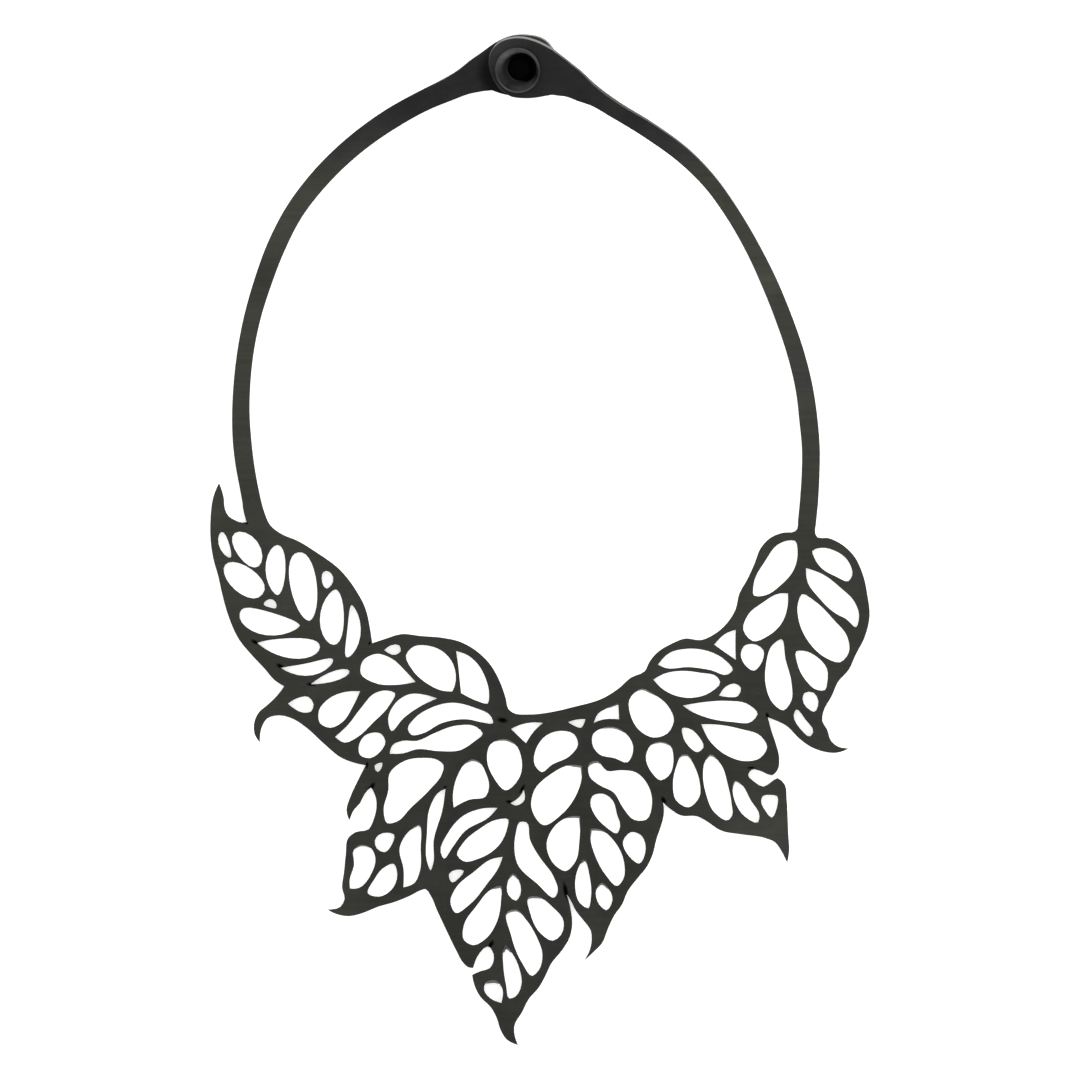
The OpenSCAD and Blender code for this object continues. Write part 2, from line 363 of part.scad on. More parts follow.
// The fastened tabs lean about a level axis through the back cap, which stands off
// the flat until neither its rim nor the back tab's low corner reaches below it
axis = [sin(lean_to), -cos(lean_to), 0];
uphill = [cos(lean_to), sin(lean_to)];
snap_at = [snap_x, snap_y, max(cap_flat_r * sin(lean),
  tab_lift - back_z * cos(lean) - xy(back_tab_edge[1]) * uphill * sin(lean))];
function turned(q) =
  q * cos(lean) + cross(axis, q) * sin(lean) + axis * (axis * q) * (1 - cos(lean));
function placed(q) = snap_at + turned(q);

// Strap cross-sections: four corners, outer low, inner low, inner high, outer high
function level(rows, i) =
  let (n = len(rows) - 1)
  i <= 0 ? rows[1] - rows[0] : i >= n ? rows[n] - rows[n - 1]
  : let (back = norm(xy(rows[i]) - xy(rows[i - 1])), on = norm(xy(rows[i + 1]) - xy(rows[i])))
    ((rows[i] - rows[i - 1]) / back * on + (rows[i + 1] - rows[i]) / on * back) / (back + on);
function section(row, along, outer, tab_rise) =
  let (out = outer * unit([-along[1], along[0]]), roll = max(0, row[4]) * lean,
       wall = sheet * sin(roll), half = (row[3] - wall) / cos(roll) / 2,
       side = [out[0] * cos(roll), out[1] * cos(roll), sin(roll)],
       up = [-out[0] * sin(roll), -out[1] * sin(roll), cos(roll)],
       mid = [row[0] + out[0] * wall / 2, row[1] + out[1] * wall / 2,
              max(row[2] * tab_rise, half * sin(roll))])
  [mid + side * half, mid - side * half, mid - side * half + up * sheet,
   mid + side * half + up * sheet];
function sections(rows, outer, tab_rise) =
  let (last = len(rows) - 1)
  concat(
    [for (i = [0:last - 1])
      let (long = norm(xy(rows[i + 1]) - xy(rows[i])),
           m = level(rows, i) * (i == 0 ? 1 : long),
           n = level(rows, i + 1) * (i + 1 == last ? 1 : long),
           steps = ceil(long / strap_step))
      for (k = [0:steps - 1])
        let (t = k / steps, e = 0.001,
             row = blend(rows[i], rows[i + 1], m, n, t),
             next = blend(rows[i], rows[i + 1], m, n, t + e))
        section(row, xy(next) - xy(row), outer, tab_rise)],
    [section(rows[last], xy(rows[last]) - xy(rows[last - 1]), outer, tab_rise)]);
function root_section(edge, z, out) =
  let (p = xy(edge[0]), q = xy(edge[1]), in_p = unit(q - p) * root_inset,
       shift = unit(p + q) * out, a = p + shift + in_p, b = q + shift - in_p,
       low = z + root_inset, high = z + sheet - root_inset)
  [placed([a[0], a[1], low]), placed([b[0], b[1], low]),
   placed([b[0], b[1], high]), placed([a[0], a[1], high])];

function strap_sections(edge, z, rows, outer) =
  let (end = root_section(edge, z, root_out))
  concat([root_section(edge, z, -root_sunk), end],
         sections(rows, outer, (end[0][2] + end[1][2]) / 2));

left_sections = strap_sections(back_tab_edge, back_z, left_strap, -1);
right_sections = strap_sections(front_tab_edge, front_z, right_strap, 1);
left_root = left_sections[len(left_sections) - 1];
right_root = right_sections[len(right_sections) - 1];
function corner(p) = [p[0], p[1], 1];

bib_edge = loop(concat(
  [corner(left_root[0])], left_leaf_edge, second_leaf_edge, third_leaf_edge,
  middle_leaf_edge, fifth_leaf_edge, sixth_leaf_edge, right_leaf_edge,
  [corner(right_root[0]), corner(right_root[1])], neck_edge, [corner(left_root[1])]));
cuts = concat(
  [for (row = petals) petal(row)],
  [for (group = [second_leaf_cuts, third_leaf_cuts, middle_leaf_cuts, fifth_leaf_cuts,
                 sixth_leaf_cuts, right_leaf_cuts]) for (row = group) loop(row)]);

module bib() {
  difference() {
    linear_extrude(sheet)
      difference() {
        polygon(bib_edge);
        for (cut = cuts) polygon(cut);
      }
    for (row = overcuts)
      translate([0, 0, overcut_floor]) linear_extrude(sheet) polygon(overcut(row));
  }
}

// One strap skinned over its cross-sections
module strap(rows, flip) {
  n = len(rows);
  points = [for (row = rows) for (k = [0:3]) row[flip ? 3 - k : k]];
  sides = [for (i = [0:n - 2]) for (k = [0:3])
    let (a = 4 * i + k, b = 4 * i + (k + 1) % 4, c = b + 4, d = a + 4)
    each [[a, b, c], [a, c, d]]];
  polyhedron(points, concat([[2, 1, 0], [3, 2, 0]], sides,
    [[4 * n - 4, 4 * n - 3, 4 * n - 2], [4 * n - 4, 4 * n - 2, 4 * n - 1]]), convexity = 6);
}

// Everything drawn inside leans with the fastened tabs
module on_snap_axis() {
  translate(snap_at) rotate(a = lean, v = axis) children();
}

module tab(edge, z, hole_r) {
  difference() {
    translate([0, 0, z]) linear_extrude(sheet) polygon(loop(edge));
    translate([0, 0, z - 1]) cylinder(r = hole_r, h = sheet + 2, $fn = fine);
  }
}

module rubber_sheet() {
  color([0.10, 0.10, 0.10])
    translate(centred) union() {
      bib();
      strap(left_sections, true);
      strap(right_sections, false);
      on_snap_axis() tab(back_tab_edge, back_z, post_hole_r);
      on_snap_axis() tab(front_tab_edge, front_z, tube_hole_r);
    }
}

// Profiles the snap pieces are turned from: radius, height. Heights start at the front
// tab's upper face for the ring, the back tab's for the socket and stud, and the
// cap's own underside for the cap
ring_profile = [
  [ring_hole_r, -sheet], [tube_r, -sheet], [tube_r, seat], [snap_r, seat], [snap_r, 0.35],
  [snap_r - 0.2, 0.7], [snap_r - 0.5, 0.8], [snap_r - 0.8, 0.65], [ring_hole_r + 0.8, 0],
  [ring_hole_r + 0.4, -0.6], [ring_hole_r, -1.5]];
socket_profile = [
  [3.1, 0.7], [5.3, 0.7], [5.6, 1.0], [5.6, snap_gap - seat], [3.1, snap_gap - seat]];
stud_profile = [
  [0, seat], [5.4, seat], [5.4, 0.6], [2.5, 0.6], [2.5, 1.1], [3.0, 1.6], [2.9, 2.0],
  [2.3, 2.2], [0, 2.2]];
cap_profile = [
  [0, 0], [cap_flat_r, 0], [snap_r - 0.1, 0.35], [snap_r, 0.6], [snap_r, cap_t - seat],
  [post_r, cap_t - seat], [post_r, back_top], [0, back_top]];

module snap_piece(profile, z, shade) {
  color(shade)
    translate(centred) on_snap_axis() translate([0, 0, z]) rotate_extrude($fn = fine)
      polygon(profile);
}

// Open ring on the front tab: rolled rim, funnel and tube
module snap_ring() {
  snap_piece(ring_profile, front_top, [0.07, 0.07, 0.07]);
}

// Socket under the front tab
module snap_socket() {
  snap_piece(socket_profile, back_top, [0.09, 0.09, 0.09]);
}

// Stud on the back tab, its knob inside the socket
module snap_stud() {
  snap_piece(stud_profile, back_top, [0.08, 0.08, 0.08]);
}

// Cap behind the back tab, its post up to the stud
module snap_back_cap() {
  snap_piece(cap_profile, 0, [0.07, 0.07, 0.07]);
}

rubber_sheet();
snap_ring();
snap_socket();
snap_stud();
snap_back_cap();
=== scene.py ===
"""Statement necklace cut from one sheet of matt black rubber, laid out on a pale table.

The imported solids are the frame. The rubber sheet gets rounded edges, leaning cut
walls and lifting leaf tips, and the pieces of the press snap get turned profiles.
"""
import math

import bmesh
import bpy
from bpy.props import (
    FloatProperty,
    FloatVectorProperty,
    IntProperty,
    PointerProperty,
)
from mathutils import Matrix, Vector, noise


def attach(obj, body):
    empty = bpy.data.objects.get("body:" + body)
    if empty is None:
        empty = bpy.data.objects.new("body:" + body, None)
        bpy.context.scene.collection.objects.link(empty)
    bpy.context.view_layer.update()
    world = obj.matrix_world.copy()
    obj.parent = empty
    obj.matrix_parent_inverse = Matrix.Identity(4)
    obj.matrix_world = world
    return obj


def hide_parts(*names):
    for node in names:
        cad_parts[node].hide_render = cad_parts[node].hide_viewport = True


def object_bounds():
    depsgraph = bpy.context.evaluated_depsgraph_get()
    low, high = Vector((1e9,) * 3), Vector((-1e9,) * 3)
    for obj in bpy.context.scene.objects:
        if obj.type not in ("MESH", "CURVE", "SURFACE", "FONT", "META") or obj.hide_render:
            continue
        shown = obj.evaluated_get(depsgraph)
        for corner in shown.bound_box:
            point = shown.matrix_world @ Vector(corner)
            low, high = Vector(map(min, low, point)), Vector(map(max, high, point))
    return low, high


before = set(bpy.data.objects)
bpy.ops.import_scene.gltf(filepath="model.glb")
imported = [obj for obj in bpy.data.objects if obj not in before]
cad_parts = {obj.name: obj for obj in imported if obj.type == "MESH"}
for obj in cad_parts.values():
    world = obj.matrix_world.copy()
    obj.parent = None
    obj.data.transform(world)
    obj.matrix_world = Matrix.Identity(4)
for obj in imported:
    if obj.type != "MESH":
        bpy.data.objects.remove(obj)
CAD_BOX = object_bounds()

bl_info = {
    "name": "Rubber Statement Necklace",
    "version": (1, 0, 0),
    "blender": (4, 5, 0),
    "location": "View3D > Sidebar > Necklace",
    "description": "Dresses a pierced rubber necklace and its press snap",
    "category": "Add Mesh",
}

MM = 0.001

# Points of the node's mesh that lie this close are one, and so are the ends of an edge
# that is as short as the step where a strap meets its tab
SAME_POINT = 0.002 * MM
JOINT_STEP = 0.05 * MM
# Faces that turn by less than this are one flat face
FLAT_WITHIN = math.radians(0.4)
# Points of a new mesh that lie this close are one
HAIR = 0.001 * MM
# How upright a face's normal is: at the most on a cut wall, at the least on a flat face
WALL_UPRIGHT = 0.5
FLAT_UPRIGHT = 0.8
# A rim turns down by more than the first of these, and the shading breaks where the rubber
# or the metal turns by more than its own
RIM_TURN = math.radians(50)
RUBBER_SHARP = math.radians(40)
METAL_SHARP = math.radians(50)
# Rims that meet at a finer angle than this are left sharp, as far as the reach from there
FINE_TIP = math.radians(42)
TIP_REACH = 2.0 * MM

# The snap's own axis: where it stands, how far it leans and which way it rises
SNAP_SEAT = Vector((-4.85, 128.03, 1.349)) * MM
SNAP_LEAN = math.radians(13)
SNAP_RISE = math.radians(51)

# Heights along the snap's axis, in millimetres: the tabs' upper faces, how far below them
# the front tab's rim counts, and a little room
BACK_TAB_TOP = 3.0
FRONT_TAB_TOP = 7.6
RIM_DEPTH = 1.0
ROOM = 0.1

# How far from the snap's axis the tabs reach, and how far the back tab's far edge and the
# front tab's far rim stand out from the plain solid, in millimetres
TAB_REACH = 11.0
BACK_TAB_PUSH = 0.2
FRONT_RIM_PUSH = -0.25
# That starts so far across the snap, and is full so much further on
PUSH_FROM = 4.0
PUSH_OVER = 3.0
# The softly rounded stretch of the front tab's upper rim: degrees round the axis, radius
SOFT_RIM_FROM = 115
SOFT_RIM_TO = 250
SOFT_RIM = 0.5 * MM

# The right strap is broader than the plain solid: middle, reach and how far on each side,
# in millimetres
BROADER = (Vector((32.0, 108.0)), 45.0, 0.22)
# The least that a sharp corner's set-out is divided by, so that it doesn't run far out
CORNER_LEAST = 0.5

# The feet of the cut walls lie below the first height. The knife's grooves end between it
# and the second, only in the bib. This far round its axis the snap keeps its holes
FOOT_TOP = 0.1 * MM
GROOVE_TOP = 1.9 * MM
BIB_TOP = 12 * MM
SNAP_ROOM = 6.5 * MM

# The bib is cut into squares so that it can follow slow waves: the squares' side, the y
# where the waves start, how far on they are full, and their scale and slice of the noise
SQUARE = 7 * MM
WAVES_FROM = 6 * MM
WAVES_OVER = 20 * MM
WAVE_SCALE = 22
WAVE_SLICE = 0.4
# How steeply the lean of a cut wall grows from its reach to its middle
LEAN_GROWTH = 1.5

# How far the table reaches to each side, in metres, and how far it lies below the sheet,
# and the height of the sheet's face
TABLE_REACH = 3.0
TABLE_DROP = 0.02 * MM
SHEET_TOP = 2 * MM
# The large light: width, depth, place and what it faces, in metres
KEY_WIDTH = 1.2
KEY_DEPTH = 0.6
KEY_PLACE = Vector((0.45, 1.25, 0.75))
KEY_TARGET = Vector((0, 0.03, 0))
# The camera: where it stands over the sheet, in millimetres, its sensor, in millimetres
# too, and how near and how far it sees, in metres
CENTRE_OF_VIEW = Vector((0.02, -0.03))
SENSOR = 36
NEAREST = 0.05
FARTHEST = 30

# Colours that the settings don't hold
BLACK = (0.001, 0.001, 0.001)
SKIN_DUST = (0.20, 0.20, 0.185)
CUT_DUST = (0.26, 0.26, 0.25)
METAL_DUST = (0.22, 0.22, 0.21)
TABLE_SHADE = (0.9, 0.9, 0.9)
# Shares of the metal's own colour that paint the shade in the ring's hole, and the two that mix
# on the stud, painted near black as shade
HOLE_SHADE_SHARE = 0.05
STUD_SHARES = (0.02, 0.10)
# The rubber's index of refraction
RUBBER_IOR = 1.45
# The metal's finer grain and dust, in turns a metre and as an amount
METAL_GRAIN = {"fine_scale": 4200.0, "broad_scale": 600.0}
STUD_GRAIN = {"fine_scale": 4200.0, "broad_scale": 700.0}
METAL_SPECKS = {"amount": 0.3, "speck_scale": 1400.0}
# How fast the stretched noises turn along each axis, in turns a metre
STREAK_TURNS = (60, 900, 60)
KNIFE_TURNS = (260, 260, 5200)
# How a noise becomes a share: the noise from and to, and the two shares
PATCH_SPREAD = (0.32, 0.46, 0.0, 1.0)
STREAK_SPREAD = (0.35, 0.70, 0.88, 1.16)
KNIFE_SPREAD = (0.30, 0.70, 0.72, 1.25)
EDGE_SPREAD = (0.35, 0.65, 0.6, 1.0)
CAP_SPREAD = (0.35, 0.62, 0.2, 1.0)
RING_SPREAD = (0.35, 0.62, 0.8, 1.1)
TABLE_SPREAD = (0.3, 0.7, 0.99, 1.0)
# How a face is rubbed paler by how upright its normal is: from and to, and the two shares
SKIN_RUBBED = (FLAT_UPRIGHT, WALL_UPRIGHT, 0.0, 0.15)
CAP_RUBBED = (0.55, 0.98, 0.05, 0.35)
# A painted slit shadow fades out between these shares of its own size
SLIT_SHADOW_FADE = (0.5, 1.3)
# The least that a share is divided by
TINY = 0.001
# Sockets of a Mix node that hold its two colours and what it puts out
MIX_COLOURS = (6, 7)
MIX_RESULT = 2

# Cut walls that lean outwards under their upper rim, so that they show from above: x, y
# of the middle, reach, then how far the foot runs out in x and y, all in millimetres
LEANING_WALLS = [
    (28.5, -40.6, 4.0, -0.1, -0.4),
    (20.5, -44.6, 3.0, 0.0, -0.4),
    (20.0, -50.5, 4.5, 0.1, -0.5),
    (10.5, -61.0, 3.5, -0.3, -0.6),
    (14.6, -60.0, 3.0, 0.2, -0.6),
    (10.0, -74.6, 4.0, -0.2, -0.6),
    (15.0, -78.0, 3.5, 0.3, -0.6),
    (12.2, -86.0, 2.2, 0.0, -0.9),
    (17.2, -92.7, 3.0, 0.0, -0.6),
    (32.8, -54.5, 3.5, 0.0, -0.4),
    (39.4, -58.0, 3.0, 0.0, -0.5),
    (46.2, -58.0, 3.0, 0.0, -0.5),
    (53.2, -65.0, 2.5, 0.2, -0.4),
    (-48.0, -82.6, 3.0, 0.1, -0.4),
    (-32.8, -77.0, 3.0, -0.1, -0.4),
    (-17.8, -59.3, 3.5, 0.1, -0.5),
    (-9.0, -53.8, 3.8, 0.1, -0.5),
    (-10.9, -93.3, 3.0, -0.1, -0.7),
    (-7.0, -89.9, 2.5, 0.0, -0.7),
    (-7.2, -100.0, 3.2, 0.1, -0.6),
    (-1.7, -96.3, 3.0, 0.1, -0.6),
    (-9.0, -109.4, 2.4, 0.2, -1.3),
    (-12.8, -119.0, 2.6, 0.0, -0.9),
]

# Leaf tips that lift off the table: x, y, reach and lift, in millimetres
LIFTS = [
    (-86.4, 12.0, 18.0, 1.1),
    (-76.5, -53.0, 20.0, 1.4),
    (-57.0, -100.5, 17.0, 1.5),
    (-51.5, -75.0, 9.0, 0.6),
    (-17.5, -116.5, 9.0, 0.5),
    (-6.5, -136.4, 30.0, 1.9),
    (13.0, -113.0, 15.0, 1.2),
    (66.8, -86.5, 18.0, 1.4),
    (64.0, -64.0, 7.0, 0.4),
    (83.0, -56.5, 18.0, 1.3),
    (89.0, -20.0, 14.0, 0.7),
    (-88.0, -12.0, 16.0, 0.6),
]

# How pale the rubber is along its length, partly its tone and partly painted shade falling off
# towards the clasp: y in millimetres and share of the colour
LENGTH_TONE = [
    (-130.0, 0.48), (-75.0, 0.50), (-45.0, 0.60), (-15.0, 0.70), (10.0, 0.74),
    (35.0, 0.86), (60.0, 0.84), (88.0, 0.98), (98.0, 0.82), (104.0, 0.60),
    (110.0, 0.42), (115.0, 0.24), (121.0, 0.19),
]
# The ends of that ramp, just past the sheet's own ends
LENGTH_TONE_FROM = -137 * MM
LENGTH_TONE_TO = 137 * MM

# The rubber turns from its warmer to its cooler tone between these two y, in millimetres
COOL_FROM = (98.0, 108.0)

# Paler and darker places: x, y and reach in millimetres, and the change of that share,
# which stays above the least
PALE_LEAST = 0.03
UNEVEN = [
    (0.0, -52.0, 60.0, -0.13),
    (62.0, -82.0, 24.0, 0.45),
    (-56.0, -101.0, 14.0, 0.30),
    (62.0, 69.8, 6.0, 0.45),
    (-74.4, 70.0, 8.0, -0.25),
    (-11.0, 134.5, 9.0, 0.62),
]

# Painted shadow on the back tab beside the front one, and a painted highlight at its far edge:
# middle in the snap's own frame, the two radii between which that ends, and how much
PAINTED_SHADOW_BESIDE = (Vector((-3.0, -1.0, 0.0)), 6.8, 9.3, 0.62)
PAINTED_LIGHT_EDGE = (Vector((5.0, 8.0, 0.0)), 2.5, 6.0, 1.20)
# Both end between these heights along the snap's axis, so that the front tab has neither
BACK_TAB_ENDS = (4.8, 5.4)
# Painted shade on the tabs' cut walls, on the side towards the bib: where that ends across the
# snap and away from it, and how much
WALL_ACROSS = (0.5, 3.0)
WALL_AWAY = (10.0, 13.0)
WALL_SHADE = 0.90
# Painted shade on the straps' cut walls grows between these two y, by so much
STRAP_SHADE = (85.0, 100.0, 0.75)

# Painted shadow in the slits where the knife ran on past a corner: x, y, half the length, half
# the width and the degrees from +X that each one points to
SLIT_SHADOWS = [
    (-79.4, 4.7, 0.7, 0.4, 140), (-76.9, -27.6, 1.3, 0.5, 150), (-46.0, -27.9, 0.5, 0.3, 70),
    (-70.1, -34.1, 1.2, 0.6, 150), (-61.7, -39.0, 1.3, 0.5, 175), (61.4, -47.4, 0.8, 0.5, 110),
    (-10.1, -48.7, 1.4, 0.7, 170), (-46.7, -60.8, 0.9, 0.4, 80), (57.0, -61.5, 1.1, 0.3, 5),
    (-45.4, -66.7, 1.4, 0.6, 60), (-4.8, -67.2, 1.4, 0.4, 60), (-25.6, -66.7, 0.6, 0.25, 0),
    (33.4, -70.3, 1.1, 0.6, 120), (-8.3, -70.7, 0.9, 0.5, 170), (6.9, -94.7, 2.3, 0.6, 100),
    (-13.2, -109.2, 1.2, 0.6, 60),
]

# Profiles the snap pieces are turned from: radius and height from the face each is seated
# on, in millimetres
RING_PROFILE = [
    (3.70, -2.00), (4.90, -2.00), (4.90, 0.05), (6.10, 0.05), (6.20, 0.12),
    (6.20, 0.44), (6.14, 0.62), (6.02, 0.75), (5.86, 0.80), (5.64, 0.75),
    (5.38, 0.60), (5.10, 0.40), (4.80, 0.17), (4.50, -0.10), (4.25, -0.42), (4.02, -0.80),
    (3.84, -1.20), (3.73, -1.55), (3.70, -1.75),
]
SOCKET_PROFILE = [
    (3.10, 0.70), (5.25, 0.70), (5.52, 0.80), (5.60, 1.05), (5.60, 2.55),
    (3.10, 2.55), (3.10, 1.70), (3.02, 1.60), (3.10, 1.50),
]
STUD_PROFILE = [
    (0.00, 0.05), (5.30, 0.05), (5.40, 0.12), (5.40, 0.50), (5.30, 0.60),
    (2.70, 0.60), (2.50, 0.75), (2.50, 1.10), (2.80, 1.35), (3.00, 1.60),
    (2.95, 1.90), (2.70, 2.12), (2.30, 2.20), (0.00, 2.20),
]
CAP_PROFILE = [
    (0.00, 0.18), (1.20, 0.14), (2.00, 0.02), (4.60, 0.00), (5.60, 0.04),
    (6.00, 0.20), (6.18, 0.45), (6.20, 0.70), (6.10, 0.90), (5.90, 0.95),
    (1.95, 0.95), (1.95, 3.00), (0.00, 3.00),
]

# Painted highlights and shade on the ring: degrees round the snap's axis from +X, share of
# painted highlight on the crest of the rolled rim and on its inner side, and how dark the painted
# shade in the funnel is
RING_LIGHT_AND_SHADE = [
    (0, 0.10, 0.00, 0.6), (15, 0.30, 0.10, 0.1), (35, 0.40, 0.50, 0.0),
    (60, 0.35, 0.45, 0.0), (90, 0.35, 0.45, 0.0), (110, 0.50, 0.65, 0.0),
    (130, 0.60, 0.95, 0.0), (150, 0.50, 0.60, 0.0), (170, 0.30, 0.20, 0.0),
    (200, 0.20, 0.00, 0.2), (220, 0.45, 0.00, 0.4), (240, 0.65, 0.00, 0.7),
    (258, 0.50, 0.00, 0.4), (275, 0.45, 0.05, 0.1), (312, 0.40, 0.05, 0.1),
    (330, 0.15, 0.00, 0.4), (345, 0.05, 0.00, 0.8),
]
# Radii in millimetres where the painted highlights on the crest and on the inner side and the
# painted shade in the funnel start, are full and end
CREST_BAND = (5.6, 5.8, 6.0, 6.2)
INNER_BAND = (4.0, 5.0, 5.55, 5.75)
FUNNEL_BAND = (3.6, 4.4, 5.45, 5.75)
# The hole's painted shade is black inside the first of these circles and gone outside the second,
# each with its middle off the snap's axis and its radius
BLACK_HOLE = (Vector((1.33, 0.72, 0.0)), 3.86)
LIT_FROM = (Vector((0.80, 0.67, 0.0)), 4.45)


class RubberSettings(bpy.types.PropertyGroup):
    """The matt rubber sheet"""

    edge_round: FloatProperty(
        name="Edge Rounding",
        description="How far the cut edges of the sheet are rounded over",
        default=0.09 * MM, min=0.0, max=0.5 * MM, unit="LENGTH", subtype="DISTANCE",
    )
    edge_steps: IntProperty(
        name="Edge Steps",
        description="Number of facets across each rounded edge",
        default=3, min=1, max=6,
    )
    swelling: FloatProperty(
        name="Swelling",
        description="How far the cut walls stand out from the plain solid",
        default=0.08 * MM, min=0.0, max=0.2 * MM, unit="LENGTH", subtype="DISTANCE",
    )
    wall_lean: FloatProperty(
        name="Wall Lean",
        description="Share of the usual lean of the cut walls that show from above",
        default=1.0, min=0.0, max=1.5, subtype="FACTOR",
    )
    lift: FloatProperty(
        name="Tip Lift",
        description="Share of the usual height that the leaf tips lift off the table",
        default=1.0, min=0.0, max=1.5, subtype="FACTOR",
    )
    ripple: FloatProperty(
        name="Ripple",
        description="Height of the slow waves in the sheet",
        default=0.25 * MM, min=0.0, max=1.0 * MM, unit="LENGTH", subtype="DISTANCE",
    )
    skin_colour: FloatVectorProperty(
        name="Skin Colour",
        description="Colour of the moulded face of the rubber",
        default=(0.0268, 0.0280, 0.0205), size=3, min=0.0, max=1.0, subtype="COLOR",
    )
    cool_colour: FloatVectorProperty(
        name="Cool Patches",
        description="Colour of the cooler patches in the face",
        default=(0.0250, 0.0251, 0.0242), size=3, min=0.0, max=1.0, subtype="COLOR",
    )
    cut_colour: FloatVectorProperty(
        name="Cut Colour",
        description="Colour of the freshly cut walls",
        default=(0.075, 0.075, 0.070), size=3, min=0.0, max=1.0, subtype="COLOR",
    )
    dust: FloatProperty(
        name="Dust",
        description="How much pale dust clings to the rubber",
        default=0.35, min=0.0, max=1.0, subtype="FACTOR",
    )


class SnapSettings(bpy.types.PropertyGroup):
    """The press snap that closes the necklace"""

    metal_colour: FloatVectorProperty(
        name="Metal Colour",
        description="Colour of the blackened metal",
        default=(0.017, 0.017, 0.0175), size=3, min=0.0, max=1.0, subtype="COLOR",
    )
    # The worn colour is also the colour of the painted highlights on the ring's rolled rim
    worn_and_highlight_colour: FloatVectorProperty(
        name="Worn Colour",
        description="Colour where the blackening has rubbed thin",
        default=(0.10, 0.10, 0.097), size=3, min=0.0, max=1.0, subtype="COLOR",
    )
    turns: IntProperty(
        name="Turned Steps",
        description="Number of steps round each turned piece",
        default=96, min=24, max=192,
    )


class StageSettings(bpy.types.PropertyGroup):
    """The table, the lights and the camera"""

    field: FloatProperty(
        name="Field",
        description="Width of the table that the picture shows",
        default=291.6 * MM, min=100 * MM, max=600 * MM, unit="LENGTH", subtype="DISTANCE",
    )
    distance: FloatProperty(
        name="Camera Height",
        description="Height of the camera above the sheet",
        default=6.0, min=0.5, max=9.0, unit="LENGTH", subtype="DISTANCE",
    )
    key_power: FloatProperty(
        name="Key Light",
        description="Power of the large light beyond the snap",
        default=16.0, min=0.0, max=100.0, subtype="POWER", unit="POWER",
    )
    table_colour: FloatVectorProperty(
        name="Table Colour",
        description="Colour of the plain table",
        default=(0.92, 0.92, 0.92), size=3, min=0.0, max=1.0, subtype="COLOR",
    )
    glow: FloatProperty(
        name="Table Glow",
        description="How strongly the white table is lit from below",
        default=0.55, min=0.0, max=2.0,
    )
    sky: FloatProperty(
        name="Surrounding Light",
        description="Strength of the even light from all round",
        default=1.12, min=0.0, max=4.0,
    )


class NecklaceSettings(bpy.types.PropertyGroup):
    """All settings of the necklace"""

    rubber: PointerProperty(type=RubberSettings, name="Rubber", description="Rubber sheet")
    snap: PointerProperty(type=SnapSettings, name="Snap", description="Press snap")
    stage: PointerProperty(type=StageSettings, name="Stage", description="Table and lights")


# Node helpers


def feed(tree, value, socket):
    """Joins a socket to the input, or sets a number, place or colour on it."""
    if hasattr(value, "links"):
        tree.links.new(value, socket)
    else:
        socket.default_value = value


def spread(tree, value, low, high, to_low, to_high):
    """Carries a value from one range to another, and holds it at the ends."""
    made = tree.nodes.new("ShaderNodeMapRange")
    feed(tree, value, made.inputs["Value"])
    feed(tree, low, made.inputs["From Min"])
    feed(tree, high, made.inputs["From Max"])
    feed(tree, to_low, made.inputs["To Min"])
    feed(tree, to_high, made.inputs["To Max"])
    return made.outputs["Result"]


def sums(tree, operation, first, second=0.0):
    """A Math node: each side is a socket or a number."""
    made = tree.nodes.new("ShaderNodeMath")
    made.operation = operation
    feed(tree, first, made.inputs[0])
    feed(tree, second, made.inputs[1])
    return made.outputs[0]


def times(tree, first, second):
    """One value multiplied by the other."""
    return sums(tree, "MULTIPLY", first, second)


def larger(tree, first, second):
    """The larger of two values."""
    return sums(tree, "MAXIMUM", first, second)


def vectors(tree, operation, first, second):
    """A Vector Math node on a place and a fixed vector."""
    made = tree.nodes.new("ShaderNodeVectorMath")
    made.operation = operation
    feed(tree, first, made.inputs[0])
    feed(tree, second, made.inputs[1])
    return made


def shaded(tree, colour, share):
    """A colour made paler or darker by a share."""
    made = tree.nodes.new("ShaderNodeVectorMath")
    made.operation = "SCALE"
    feed(tree, colour, made.inputs[0])
    feed(tree, share, made.inputs["Scale"])
    return made.outputs[0]


def blend_colour(tree, share, first, second):
    """Mixes two colours, each a socket or three numbers."""
    made = tree.nodes.new("ShaderNodeMix")
    made.data_type = "RGBA"
    feed(tree, share, made.inputs[0])
    for side, value in zip(MIX_COLOURS, (first, second)):
        feed(tree, value if hasattr(value, "links") else (*value, 1), made.inputs[side])
    return made.outputs[MIX_RESULT]


def ramped(tree, share, rows, ease=False):
    """The colour at a share from 0 to 1, between rows of a share and three values."""
    made = tree.nodes.new("ShaderNodeValToRGB")
    made.color_ramp.interpolation = "EASE" if ease else "LINEAR"
    feed(tree, share, made.inputs[0])
    stops = made.color_ramp.elements
    while len(stops) < len(rows):
        stops.new(0.5)
    for stop, (at, *values) in zip(stops, rows):
        stop.position = at
        stop.color = (*values, 1)
    return made.outputs["Color"]


def clouds(tree, place, scale, detail=3.0, rough=0.5):
    """Noise in object space: scale is in turns a metre."""
    made = tree.nodes.new("ShaderNodeTexNoise")
    feed(tree, place, made.inputs["Vector"])
    feed(tree, scale, made.inputs["Scale"])
    feed(tree, detail, made.inputs["Detail"])
    feed(tree, rough, made.inputs["Roughness"])
    return made.outputs["Fac"]


def mapped(tree, place, kind, **values):
    """A place moved by a Mapping node with that location, rotation or scale."""
    made = tree.nodes.new("ShaderNodeMapping")
    made.vector_type = kind
    for key, value in values.items():
        made.inputs[key.title()].default_value = value
    feed(tree, place, made.inputs["Vector"])
    return made.outputs["Vector"]


